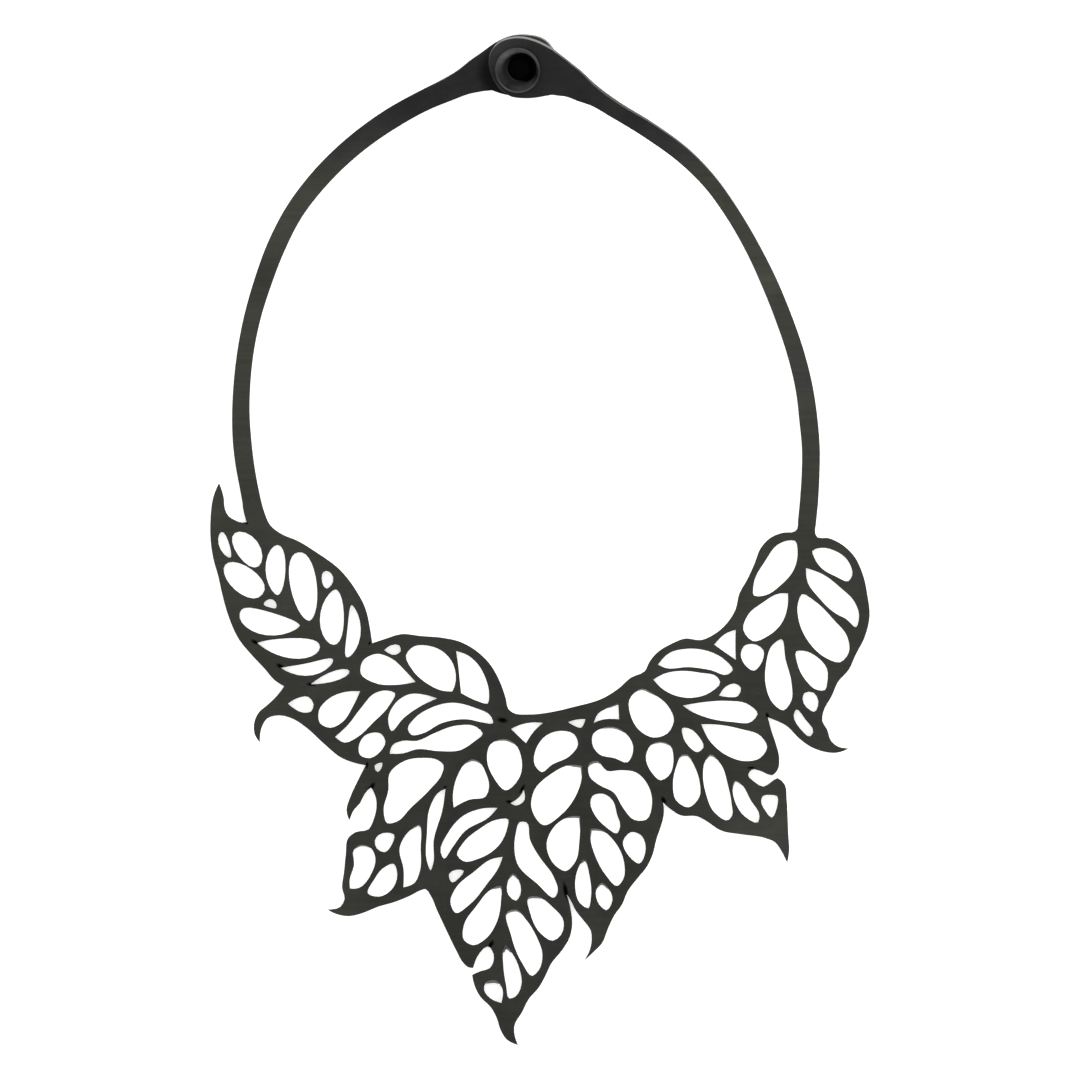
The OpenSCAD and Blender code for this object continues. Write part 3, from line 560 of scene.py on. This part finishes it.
def along(tree, place, axis):
    """A place's part along one axis."""
    split = tree.nodes.new("ShaderNodeSeparateXYZ")
    feed(tree, place, split.inputs[0])
    return split.outputs[axis]


def split_colour(tree, colour):
    """The three parts of a colour."""
    split = tree.nodes.new("ShaderNodeSeparateColor")
    feed(tree, colour, split.inputs[0])
    return split.outputs


def new_group(name, inputs, outputs):
    """A node group with named inputs (name, socket type, default) and outputs."""
    tree = bpy.data.node_groups.new(name, "ShaderNodeTree")
    for label, kind, default in inputs:
        socket = tree.interface.new_socket(label, in_out="INPUT", socket_type=kind)
        if default is not None:
            socket.default_value = default
    for label, kind in outputs:
        tree.interface.new_socket(label, in_out="OUTPUT", socket_type=kind)
    return tree, tree.nodes.new("NodeGroupInput"), tree.nodes.new("NodeGroupOutput")


def placed_group(tree, group, place, **values):
    """Places a shared group in a material with its own values."""
    made = tree.nodes.new("ShaderNodeGroup")
    made.node_tree = group
    feed(tree, place, made.inputs["Place"])
    for key, value in values.items():
        made.inputs[key.replace("_", " ").title()].default_value = value
    return made


def dust_group():
    """Pale specks and thin films of dust, as a mask."""
    name = "clinging_dust"
    if name in bpy.data.node_groups:
        return bpy.data.node_groups[name]
    tree, start, end = new_group(
        name,
        [("Place", "NodeSocketVector", None), ("Speck Scale", "NodeSocketFloat", 900.0),
         ("Film Scale", "NodeSocketFloat", 70.0), ("Amount", "NodeSocketFloat", 0.3)],
        [("Mask", "NodeSocketFloat")],
    )
    speck = tree.nodes.new("ShaderNodeTexVoronoi")
    speck.feature = "F1"
    feed(tree, start.outputs["Place"], speck.inputs["Vector"])
    feed(tree, start.outputs["Speck Scale"], speck.inputs["Scale"])
    dots = spread(tree, speck.outputs["Distance"], 0.10, 0.22, 1.0, 0.0)
    kept = spread(tree, split_colour(tree, speck.outputs["Color"])[0], 0.80, 1.0, 0.0, 1.0)
    film = clouds(tree, start.outputs["Place"], start.outputs["Film Scale"], 6.0, 0.65)
    both = sums(tree, "ADD", times(tree, dots, kept), spread(tree, film, 0.42, 0.75, 0.0, 0.55))
    feed(tree, times(tree, both, start.outputs["Amount"]), end.inputs["Mask"])
    return tree


def grain_group():
    """Fine moulded grain with shallow pits, as a height and as a value."""
    name = "moulded_grain"
    if name in bpy.data.node_groups:
        return bpy.data.node_groups[name]
    tree, start, end = new_group(
        name,
        [("Place", "NodeSocketVector", None), ("Fine Scale", "NodeSocketFloat", 2600.0),
         ("Broad Scale", "NodeSocketFloat", 420.0)],
        [("Height", "NodeSocketFloat"), ("Value", "NodeSocketFloat")],
    )
    fine = clouds(tree, start.outputs["Place"], start.outputs["Fine Scale"], 2.0)
    broad = clouds(tree, start.outputs["Place"], start.outputs["Broad Scale"], 4.0)
    height = sums(tree, "ADD", times(tree, fine, 0.45), times(tree, broad, 0.55))
    feed(tree, height, end.inputs["Height"])
    feed(tree, broad, end.inputs["Value"])
    return tree


def new_material(name):
    """A material with its tree, its Principled shader and its texture coordinates."""
    made = bpy.data.materials.new(name)
    made.use_nodes = True
    tree = made.node_tree
    tree.nodes.clear()
    out = tree.nodes.new("ShaderNodeOutputMaterial")
    shader = tree.nodes.new("ShaderNodeBsdfPrincipled")
    feed(tree, shader.outputs["BSDF"], out.inputs["Surface"])
    return made, tree, shader, tree.nodes.new("ShaderNodeTexCoord")


def bumped(tree, shader, height, strength, distance):
    """Lets a height raise the surface."""
    bump = tree.nodes.new("ShaderNodeBump")
    bump.inputs["Strength"].default_value = strength
    bump.inputs["Distance"].default_value = distance
    feed(tree, height, bump.inputs["Height"])
    feed(tree, bump.outputs["Normal"], shader.inputs["Normal"])


def grained(tree, shader, grain, roughness, strength, distance):
    """Lets the grain change the roughness between two values and raise the surface."""
    feed(tree, spread(tree, grain.outputs["Value"], 0.3, 0.7, *roughness),
         shader.inputs["Roughness"])
    bumped(tree, shader, grain.outputs["Height"], strength, distance)


def dusted(tree, place, under, share, powder, **values):
    """Lays so large a share of clinging dust of that colour over a colour."""
    dust = placed_group(tree, dust_group(), place, **values)
    return blend_colour(tree, times(tree, dust.outputs["Mask"], share), under, powder)


def darkened(tree, shader, tone, shadow):
    """Colours a shader, black and without a sheen where the shadow is full."""
    feed(tree, blend_colour(tree, shadow, tone, BLACK), shader.inputs["Base Color"])
    feed(tree, shadow, shader.inputs["Metallic"])


# Masks in the sheet's and the snap's own frames


def flattened(tree, place):
    """A place in millimetres, with its height left out."""
    return vectors(tree, "MULTIPLY", place, (1 / MM, 1 / MM, 0)).outputs["Vector"]


def away_from(tree, place, middle=(0, 0, 0)):
    """Distance of a place from a fixed middle."""
    return vectors(tree, "DISTANCE", place, middle).outputs["Value"]


def snap_place(tree, place):
    """Object coordinates in the snap's own frame."""
    return mapped(
        tree, place, "TEXTURE", location=SNAP_SEAT, rotation=snap_frame().to_euler())


def across(tree, place, low, high, to_low, to_high):
    """Carries the y of a place, in millimetres, from one range to another."""
    return spread(tree, along(tree, place, "Y"), low * MM, high * MM, to_low, to_high)


def on_back_tab(tree, place, spot):
    """A spot on the back tab: full inside its inner radius, and nothing on the front tab."""
    middle, inner, outer, share = spot
    seated = snap_place(tree, place)
    low, high = (height * MM for height in BACK_TAB_ENDS)
    below = spread(tree, along(tree, seated, "Z"), low, high, share, 0.0)
    away = away_from(tree, flattened(tree, seated), middle)
    return times(tree, below, spread(tree, away, inner, outer, 1.0, 0.0))


def painted_slit_shadows(tree, place):
    """1 in the painted shadows of the knife's slits, fading out round them."""
    flat = flattened(tree, place)
    slit_shade = 0.0
    for x, y, half_long, half_wide, degrees in SLIT_SHADOWS:
        own = mapped(
            tree, flat, "TEXTURE", location=(x, y, 0),
            rotation=(0, 0, math.radians(degrees)), scale=(half_long, half_wide, 1))
        slit_shade = larger(tree, spread(tree, away_from(tree, own), *SLIT_SHADOW_FADE, 1.0, 0.0), slit_shade)
    return slit_shade


def painted_wall_shade(tree, place):
    """How dark the painted shade on the cut walls of the tabs and straps is."""
    seated = snap_place(tree, place)
    side = across(tree, seated, *WALL_ACROSS, WALL_SHADE, 0.0)
    away = away_from(tree, flattened(tree, seated))
    tabs = times(tree, side, spread(tree, away, *WALL_AWAY, 1.0, 0.0))
    low, high, share = STRAP_SHADE
    strap = across(tree, place, low, high, 0.0, share)
    return larger(tree, tabs, times(tree, strap, spread(tree, away, *WALL_AWAY, 0.0, 1.0)))


def paleness_along(tree, place):
    """How pale the rubber is along its length: palest on the straps, with painted shade darkening
    it towards the clasp.
    """
    length = LENGTH_TONE_TO - LENGTH_TONE_FROM
    rows = [((y * MM - LENGTH_TONE_FROM) / length, share, share, share) for y, share in LENGTH_TONE]
    return ramped(
        tree, spread(tree, along(tree, place, "Y"), LENGTH_TONE_FROM, LENGTH_TONE_TO, 0.0, 1.0), rows)


def unevenly(tree, place, share):
    """Adds the paler and darker places of UNEVEN and the painted highlight at the back tab's far
    edge to a share.
    """
    flat = flattened(tree, place)
    for x, y, reach, change in UNEVEN:
        spot = spread(tree, away_from(tree, flat, (x, y, 0)), 0.0, reach, change, 0.0)
        share = sums(tree, "ADD", share, spot)
    share = sums(tree, "ADD", share, on_back_tab(tree, place, PAINTED_LIGHT_EDGE))
    return larger(tree, share, PALE_LEAST)


def banded(tree, value, band):
    """1 between the two middle values of the band, falling to 0 at its ends."""
    start, full, fading, end = band
    return times(tree, spread(tree, value, start, full, 0.0, 1.0),
                 spread(tree, value, fading, end, 1.0, 0.0))


def round_light_and_shade(tree, flat):
    """The three shares of the ring's painted highlights and shade at that angle round the snap's
    axis.
    """
    angle = sums(tree, "ARCTAN2", along(tree, flat, "Y"), along(tree, flat, "X"))
    turn = sums(tree, "FRACT", sums(tree, "DIVIDE", angle, math.tau))
    rows = [(degrees / 360, *shares) for degrees, *shares in RING_LIGHT_AND_SHADE]
    rows.append((1, *rows[0][1:]))
    return split_colour(tree, ramped(tree, turn, rows, ease=True))


def hole_shade(tree, flat):
    """1 in the black hole, easing to 0 where the ring's funnel is lit."""
    (middle, radius), (outer_middle, outer_radius) = BLACK_HOLE, LIT_FROM
    past = larger(tree, sums(tree, "SUBTRACT", away_from(tree, flat, middle), radius), 0)
    short = larger(
        tree, sums(tree, "SUBTRACT", outer_radius, away_from(tree, flat, outer_middle)), 0)
    return sums(tree, "DIVIDE", short, larger(tree, sums(tree, "ADD", past, short), TINY))


# Materials


def rubber_skin(settings):
    """The moulded faces: two near-black tones, fine grain, faint streaks and dust, with painted
    shade, a painted highlight and painted shadow in the knife's slits.
    """
    made, tree, shader, coords = new_material("matt_rubber")
    place = coords.outputs["Object"]
    grain = placed_group(tree, grain_group(), place)
    patches = clouds(tree, place, scale=55.0, detail=4.0, rough=0.6)
    warm = times(
        tree, spread(tree, patches, *PATCH_SPREAD),
        across(tree, place, *COOL_FROM, 1.0, 0.0))
    tone = blend_colour(tree, warm, settings.cool_colour, settings.skin_colour)
    long_place = mapped(tree, place, "POINT", scale=STREAK_TURNS)
    streaks = clouds(tree, long_place, scale=1.0, detail=4.0, rough=0.6)
    # The paleness holds painted shade towards the clasp and a painted highlight on the back tab's
    # far edge
    pale = unevenly(tree, place, paleness_along(tree, place))
    shade = shaded(tree, tone, times(tree, spread(tree, streaks, *STREAK_SPREAD), pale))
    upright = sums(tree, "ABSOLUTE", along(tree, coords.outputs["Normal"], "Z"))
    wear_and_highlight = times(tree, spread(tree, upright, *SKIN_RUBBED),
                 spread(tree, grain.outputs["Value"], *EDGE_SPREAD))
    edged = blend_colour(tree, wear_and_highlight, shade, settings.cut_colour)
    # Painted shadow, black and without a sheen: on the back tab beside the front one, and in the
    # knife's slits
    darkened(
        tree, shader,
        tone=dusted(tree, place, edged, 0.22, SKIN_DUST, amount=settings.dust),
        shadow=larger(
            tree, on_back_tab(tree, place, PAINTED_SHADOW_BESIDE), painted_slit_shadows(tree, place)))
    shader.inputs["IOR"].default_value = RUBBER_IOR
    shader.inputs["Specular IOR Level"].default_value = 0.20
    grained(tree, shader, grain, roughness=(0.52, 0.66), strength=0.35, distance=0.05 * MM)
    return made


def rubber_cut(settings):
    """The cut walls: paler, with the knife's fine lines running along them."""
    made, tree, shader, coords = new_material("cut_rubber")
    place = coords.outputs["Object"]
    long_place = mapped(tree, place, "POINT", scale=KNIFE_TURNS)
    lines = clouds(tree, long_place, scale=1.0, detail=4.0, rough=0.6)
    shade = shaded(tree, settings.cut_colour, spread(tree, lines, *KNIFE_SPREAD))
    # Painted shade, black and without a sheen where full, on the tabs' and straps' cut walls
    darkened(
        tree, shader,
        tone=dusted(tree, place, shade, 0.30, CUT_DUST, amount=settings.dust),
        shadow=painted_wall_shade(tree, place))
    shader.inputs["Roughness"].default_value = 0.50
    shader.inputs["IOR"].default_value = RUBBER_IOR
    shader.inputs["Specular IOR Level"].default_value = 0.45
    bumped(tree, shader, lines, strength=0.5, distance=0.04 * MM)
    return made


def cap_metal(settings):
    """The cap's blackened metal, rubbed thin in patches on the faces that look up."""
    made, tree, shader, coords = new_material("blackened_metal")
    place = coords.outputs["Object"]
    grain = placed_group(tree, grain_group(), place, **METAL_GRAIN)
    rubbed = spread(tree, along(tree, coords.outputs["Normal"], "Z"), *CAP_RUBBED)
    wear_and_highlight = times(tree, rubbed, spread(tree, grain.outputs["Value"], *CAP_SPREAD))
    tone = blend_colour(tree, wear_and_highlight, settings.metal_colour, settings.worn_and_highlight_colour)
    feed(tree, dusted(tree, place, tone, 0.12, METAL_DUST, **METAL_SPECKS),
         shader.inputs["Base Color"])
    shader.inputs["Metallic"].default_value = 0.35
    grained(tree, shader, grain, roughness=(0.34, 0.50), strength=0.2, distance=0.02 * MM)
    return made


def ring_metal(settings):
    """The ring's and socket's metal, with painted highlights on the rolled rim and painted shade
    in the funnel and the hole.
    """
    name = "painted_light_ring_metal"
    if name in bpy.data.materials:
        return bpy.data.materials[name]
    made, tree, shader, coords = new_material(name)
    place = coords.outputs["Object"]
    flat = flattened(tree, snap_place(tree, place))
    radius = away_from(tree, flat)
    # Painted highlights on the rolled rim and its inner side, and painted shade in the funnel
    crest, inner, dim = round_light_and_shade(tree, flat)
    wear_and_highlight = sums(tree, "ADD", times(tree, crest, banded(tree, radius, CREST_BAND)),
                times(tree, inner, banded(tree, radius, INNER_BAND)))
    grain = placed_group(tree, grain_group(), place, **METAL_GRAIN)
    film = spread(tree, grain.outputs["Value"], *RING_SPREAD)
    tone = blend_colour(
        tree, times(tree, wear_and_highlight, film), settings.metal_colour, settings.worn_and_highlight_colour)
    tone = dusted(tree, place, tone, 0.05, METAL_DUST, **METAL_SPECKS)
    # Painted shade in the hole: a small share of the metal's colour, and no sheen where it is
    # full
    hole_shade_colour = tuple(HOLE_SHADE_SHARE * part for part in settings.metal_colour)
    funnel = times(tree, dim, banded(tree, radius, FUNNEL_BAND))
    shade = larger(tree, hole_shade(tree, flat), funnel)
    feed(tree, blend_colour(tree, shade, tone, hole_shade_colour), shader.inputs["Base Color"])
    feed(tree, spread(tree, shade, 0.0, 1.0, 0.20, 1.0), shader.inputs["Metallic"])
    shader.inputs["Specular IOR Level"].default_value = 0.12
    grained(tree, shader, grain, roughness=(0.50, 0.62), strength=0.2, distance=0.02 * MM)
    return made


def stud_metal(settings):
    """The stud's metal, painted nearly black as shade, as no light reaches it."""
    made, tree, shader, coords = new_material("shaded_inner_metal")
    place = coords.outputs["Object"]
    grain = placed_group(tree, grain_group(), place, **STUD_GRAIN)
    # Both shares paint the stud near black, as shade deep inside the ring
    dark, hole_shade_colour = (
        tuple(share * part for part in settings.metal_colour) for share in STUD_SHARES)
    feed(tree, blend_colour(tree, grain.outputs["Value"], dark, hole_shade_colour),
         shader.inputs["Base Color"])
    shader.inputs["Specular IOR Level"].default_value = 0.01
    grained(tree, shader, grain, roughness=(0.42, 0.60), strength=0.2, distance=0.02 * MM)
    return made


def table_paint(settings):
    """The table's plain white paint, lit from below."""
    made, tree, shader, coords = new_material("plain_table")
    shade = spread(tree, clouds(tree, coords.outputs["Object"], scale=3.0), *TABLE_SPREAD)
    feed(tree, blend_colour(tree, shade, TABLE_SHADE, settings.table_colour),
         shader.inputs["Base Color"])
    shader.inputs["Roughness"].default_value = 0.9
    shader.inputs["Specular IOR Level"].default_value = 0.1
    shader.inputs["Emission Color"].default_value = (1, 1, 1, 1)
    shader.inputs["Emission Strength"].default_value = settings.glow
    return made


# Mesh helpers


def eased(share):
    """Smooth step from 0 to 1."""
    share = min(1.0, max(0.0, share))
    return share * share * (3 - 2 * share)


def snap_frame():
    """The place where the snap's own axis leans on the fastened tabs."""
    axis = Vector((math.sin(SNAP_RISE), -math.cos(SNAP_RISE), 0))
    return Matrix.Translation(SNAP_SEAT) @ Matrix.Rotation(SNAP_LEAN, 4, axis)


def aimed(place, target):
    """A matrix that stands at place and looks at target."""
    turn = (target - place).to_track_quat("-Z", "Y").to_matrix().to_4x4()
    return Matrix.Translation(place) @ turn


def new_object(bm, name, materials):
    """Turns a bmesh into a named object of the scene."""
    mesh = bpy.data.meshes.new(name)
    bm.to_mesh(mesh)
    bm.free()
    for material in materials:
        mesh.materials.append(material)
    made = bpy.data.objects.new(name, mesh)
    bpy.context.scene.collection.objects.link(made)
    return made


def finish_piece(bm, name, materials, stands_for):
    """Turns a bmesh into a named piece that rides on the body and replaces its node."""
    piece = new_object(bm, name, materials)
    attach(piece, "root")
    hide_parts(stands_for)
    return piece


def merged_copy(name):
    """The node's own mesh with its loose triangles joined and its flat faces made whole."""
    bm = bmesh.new()
    bm.from_mesh(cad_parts[name].data)
    bmesh.ops.remove_doubles(bm, verts=bm.verts, dist=SAME_POINT)
    short = [edge for edge in bm.edges if edge.calc_length() < JOINT_STEP]
    bmesh.ops.collapse(bm, edges=short, uvs=False)
    fins = [face for face in bm.faces if any(edge.is_boundary for edge in face.edges)]
    bmesh.ops.delete(bm, geom=fins, context="FACES")
    bmesh.ops.dissolve_limit(
        bm, angle_limit=FLAT_WITHIN, use_dissolve_boundaries=False,
        verts=bm.verts[:], edges=bm.edges[:], delimit=set())
    return bm


def is_rim(edge):
    """Whether a flat face of the sheet turns down into a cut wall at that edge."""
    if len(edge.link_faces) != 2 or not edge.is_convex:
        return False
    first, second = (abs(face.normal.z) > FLAT_UPRIGHT for face in edge.link_faces)
    return edge.calc_face_angle(0) > RIM_TURN and first != second


def rim_edges(bm):
    """The rims of the sheet, without those near a fine tip."""
    rims = [edge for edge in bm.edges if is_rim(edge)]
    meeting = {}
    for edge in rims:
        for v in edge.verts:
            meeting.setdefault(v, []).append(edge.other_vert(v).co - v.co)
    tips = [v.co for v, ways in meeting.items()
            if len(ways) == 2 and ways[0].angle(ways[1]) < FINE_TIP]
    return [edge for edge in rims
            if all((v.co - tip).length > TIP_REACH for v in edge.verts for tip in tips)]


def on_groove(v):
    """Whether a point of the bib stands over or under the end of a knife's groove."""
    reached = [v] + [edge.other_vert(v) for edge in v.link_edges]
    return v.co.y < BIB_TOP and any(
        FOOT_TOP < end.co.z < GROOVE_TOP and (end.co - v.co).xy.length < SAME_POINT
        for end in reached)


def swell(bm, by):
    """Sets the cut walls out, except in the knife's grooves and round the snap."""
    inward = snap_frame().inverted()
    middle, reach, extra = BROADER
    moves = {}
    for v in bm.verts:
        walls = [face.normal.xy.normalized() for face in v.link_faces
                 if abs(face.normal.z) < WALL_UPRIGHT]
        if not walls or on_groove(v) or (inward @ v.co).xy.length < SNAP_ROOM:
            continue
        # A corner goes out between the two of its walls that face the most apart
        first, second = min(
            ((one, two) for one in walls for two in walls), key=lambda pair: pair[0].dot(pair[1]))
        near = max(0, 1 - (v.co.xy / MM - middle).length / reach)
        out = by + near * extra * MM
        moves[v] = (first + second) * out / max(CORNER_LEAST, 1 + first.dot(second))
    for v, move in moves.items():
        v.co.xy += move


def lean_walls(bm, share):
    """Runs the foot of the listed cut walls out, so that they show from above."""
    feet = [v for v in bm.verts if v.co.z < FOOT_TOP]
    for x, y, reach, run_x, run_y in LEANING_WALLS:
        centre = Vector((x, y)) * MM
        for foot in feet:
            near = 1 - (foot.co.xy - centre).length / (reach * MM)
            if near > 0:
                weight = eased(near * LEAN_GROWTH) * share * MM
                foot.co.x += run_x * weight
                foot.co.y += run_y * weight


def push_tabs(bm, share):
    """Draws the front tab's far rim in, and pushes the back tab's far edge out."""
    inward = snap_frame().inverted()
    for v in bm.verts:
        x, y, z = inward @ v.co / MM
        push = 0.0
        if z < BACK_TAB_TOP + ROOM:
            push = BACK_TAB_PUSH
        elif z >= FRONT_TAB_TOP - RIM_DEPTH:
            push = FRONT_RIM_PUSH
        if math.hypot(x, y) <= TAB_REACH:
            v.co.y += push * eased((y - PUSH_FROM) / PUSH_OVER) * share * MM


def tab_rims(rims):
    """The upper rim of the front tab where it faces the back tab's strap."""
    inward = snap_frame().inverted()
    found = []
    for edge in rims:
        points = [inward @ v.co / MM for v in edge.verts]
        turns = [math.degrees(math.atan2(p.y, p.x)) % 360 for p in points]
        upper = all(p.z > FRONT_TAB_TOP - ROOM and p.xy.length < TAB_REACH for p in points)
        if upper and all(SOFT_RIM_FROM < turn < SOFT_RIM_TO for turn in turns):
            found.append(edge)
    return found


def rounded(bm, edges, offset, steps):
    """Rounds those edges over."""
    bmesh.ops.bevel(
        bm, geom=edges, offset=offset, offset_type="OFFSET", segments=steps, profile=0.5,
        affect="EDGES", clamp_overlap=False, material=-1, loop_slide=False,
        miter_outer="SHARP", miter_inner="SHARP")
    bm.normal_update()


def lift_at(x, y, settings):
    """How far the sheet lies off the table at that place."""
    height = 0.0
    for tip_x, tip_y, reach, lift in LIFTS:
        near = 1 - math.hypot(x - tip_x * MM, y - tip_y * MM) / (reach * MM)
        if near > 0:
            height += eased(near) * lift * MM * settings.lift
    wave = noise.noise(Vector((x * WAVE_SCALE, y * WAVE_SCALE, WAVE_SLICE)))
    bib = eased((WAVES_FROM - y) / WAVES_OVER)
    return bib * (height + settings.ripple * (0.5 + 0.5 * wave))


def sliced(bm, step):
    """Cuts the bib on a square grid, so that its flat faces can follow the waves."""
    low, high = CAD_BOX
    for axis, top in ((0, high.x), (1, BIB_TOP)):
        place = low[axis] + step
        while place < top:
            point, normal = Vector((0, 0, 0)), Vector((0, 0, 0))
            point[axis] = place
            normal[axis] = 1
            bmesh.ops.bisect_plane(
                bm, geom=bm.verts[:] + bm.edges[:] + bm.faces[:], dist=HAIR,
                plane_co=point, plane_no=normal)
            place += step


def turned_piece(name, profile, rise, material, stands_for):
    """Spins a profile round the snap's axis and seats it in its place."""
    steps = bpy.context.scene.necklace.snap.turns
    bm = bmesh.new()
    rim = [bm.verts.new(Vector((r, 0, z + rise)) * MM) for r, z in profile]
    edges = [bm.edges.new(pair) for pair in zip(rim, rim[1:])]
    if profile[0][0] > 0:
        edges.append(bm.edges.new((rim[-1], rim[0])))
    bmesh.ops.spin(
        bm, geom=rim + edges, axis=(0, 0, 1), cent=(0, 0, 0),
        angle=math.tau, steps=steps, use_merge=True, use_duplicate=False)
    bmesh.ops.remove_doubles(bm, verts=bm.verts, dist=HAIR)
    bmesh.ops.recalc_face_normals(bm, faces=bm.faces)
    for face in bm.faces:
        face.smooth = True
    bmesh.ops.transform(bm, matrix=snap_frame(), verts=bm.verts)
    piece = finish_piece(bm, name, [material], stands_for)
    piece.data.set_sharp_from_angle(angle=METAL_SHARP)
    return piece


# Operators


class NECKLACE_OT_rubber_sheet(bpy.types.Operator):
    """Dress the pierced sheet: rounded rims, leaning cut walls and lifting tips"""

    bl_idname = "necklace.rubber_sheet"
    bl_label = "Rubber Sheet"

    def execute(self, context):
        settings = context.scene.necklace.rubber
        bm = merged_copy("rubber_sheet")
        swell(bm, settings.swelling)
        lean_walls(bm, settings.wall_lean)
        push_tabs(bm, settings.wall_lean)
        bm.normal_update()
        rounded(bm, tab_rims(rim_edges(bm)), SOFT_RIM, settings.edge_steps)
        rounded(bm, rim_edges(bm), settings.edge_round, settings.edge_steps)
        sliced(bm, SQUARE)
        for v in bm.verts:
            v.co.z += lift_at(v.co.x, v.co.y, settings)
        bm.normal_update()
        for face in bm.faces:
            face.smooth = True
            face.material_index = 1 if abs(face.normal.z) < WALL_UPRIGHT else 0
        piece = finish_piece(
            bm, "pierced_rubber", [rubber_skin(settings), rubber_cut(settings)],
            "rubber_sheet")
        piece.data.set_sharp_from_angle(angle=RUBBER_SHARP)
        even = piece.modifiers.new("even_shading", "WEIGHTED_NORMAL")
        even.mode = "FACE_AREA"
        even.keep_sharp = True
        return {"FINISHED"}


class NECKLACE_OT_snap_ring(bpy.types.Operator):
    """Turn the open ring that stands on the front tab"""

    bl_idname = "necklace.snap_ring"
    bl_label = "Snap Ring"

    def execute(self, context):
        metal = ring_metal(context.scene.necklace.snap)
        turned_piece("rolled_ring", RING_PROFILE, FRONT_TAB_TOP, metal, "snap_ring")
        return {"FINISHED"}


class NECKLACE_OT_snap_inside(bpy.types.Operator):
    """Turn the socket and the stud that hold the two tabs together"""

    bl_idname = "necklace.snap_inside"
    bl_label = "Socket and Stud"

    def execute(self, context):
        settings = context.scene.necklace.snap
        turned_piece(
            "spring_socket", SOCKET_PROFILE, BACK_TAB_TOP, ring_metal(settings), "snap_socket")
        turned_piece(
            "round_stud", STUD_PROFILE, BACK_TAB_TOP, stud_metal(settings), "snap_stud")
        return {"FINISHED"}


class NECKLACE_OT_back_cap(bpy.types.Operator):
    """Turn the cap behind the back tab"""

    bl_idname = "necklace.back_cap"
    bl_label = "Back Cap"

    def execute(self, context):
        metal = cap_metal(context.scene.necklace.snap)
        turned_piece("back_cap", CAP_PROFILE, 0, metal, "snap_back_cap")
        return {"FINISHED"}


class NECKLACE_OT_stage(bpy.types.Operator):
    """Set the pale table, the soft lights and the camera straight above"""

    bl_idname = "necklace.stage"
    bl_label = "Table and Lights"

    def execute(self, context):
        settings = context.scene.necklace.stage
        bm = bmesh.new()
        bmesh.ops.create_grid(bm, x_segments=1, y_segments=1, size=TABLE_REACH)
        bmesh.ops.translate(bm, verts=bm.verts, vec=(0, 0, -TABLE_DROP))
        floor = new_object(bm, "table", [table_paint(settings)])

        world = bpy.data.worlds.new("even_studio")
        world.use_nodes = True
        sky = world.node_tree.nodes["Background"]
        sky.inputs["Color"].default_value = (1, 1, 1, 1)
        sky.inputs["Strength"].default_value = settings.sky
        context.scene.world = world

        key = bpy.data.lights.new("key_light", "AREA")
        key.shape = "RECTANGLE"
        key.size = KEY_WIDTH
        key.size_y = KEY_DEPTH
        key.energy = settings.key_power
        lamp = bpy.data.objects.new("key_light", key)
        lamp.matrix_world = aimed(KEY_PLACE, KEY_TARGET)
        lamp.visible_camera = False
        context.scene.collection.objects.link(lamp)

        eye = bpy.data.cameras.new("above")
        eye.sensor_width = SENSOR
        eye.lens = SENSOR * settings.distance / settings.field
        eye.clip_start = NEAREST
        eye.clip_end = FARTHEST
        camera = bpy.data.objects.new("above", eye)
        camera.location = (*CENTRE_OF_VIEW * MM, settings.distance + SHEET_TOP)
        context.scene.collection.objects.link(camera)
        context.scene.camera = camera
        context.scene.view_settings.view_transform = "Standard"
        return {"FINISHED"}


class NECKLACE_PT_panel(bpy.types.Panel):
    """Lists the pieces of the necklace and their settings"""

    bl_idname = "NECKLACE_PT_panel"
    bl_label = "Rubber Necklace"
    bl_space_type = "VIEW_3D"
    bl_region_type = "UI"
    bl_category = "Necklace"

    def draw(self, context):
        necklace = context.scene.necklace
        for title, group, names in (
            ("Rubber", necklace.rubber, ("rubber_sheet",)),
            ("Snap", necklace.snap, ("snap_ring", "snap_inside", "back_cap")),
            ("Stage", necklace.stage, ("stage",)),
        ):
            box = self.layout.box()
            box.label(text=title)
            for key in type(group).__annotations__:
                box.prop(group, key)
            for name in names:
                box.operator(f"necklace.{name}")


CLASSES = (
    RubberSettings,
    SnapSettings,
    StageSettings,
    NecklaceSettings,
    NECKLACE_OT_stage,
    NECKLACE_OT_rubber_sheet,
    NECKLACE_OT_snap_ring,
    NECKLACE_OT_snap_inside,
    NECKLACE_OT_back_cap,
    NECKLACE_PT_panel,
)


def register():
    """Makes the classes and the scene's settings known."""
    for cls in CLASSES:
        bpy.utils.register_class(cls)
    bpy.types.Scene.necklace = PointerProperty(
        type=NecklaceSettings, name="Necklace", description="Settings of the rubber necklace")


def unregister():
    """Takes them away again."""
    del bpy.types.Scene.necklace
    for cls in reversed(CLASSES):
        bpy.utils.unregister_class(cls)


def main():
    """Builds the stage and every piece."""
    register()
    bpy.ops.necklace.stage()
    bpy.ops.necklace.rubber_sheet()
    bpy.ops.necklace.snap_ring()
    bpy.ops.necklace.snap_inside()
    bpy.ops.necklace.back_cap()
    bpy.context.view_layer.update()


if __name__ == "__main__":
    main()
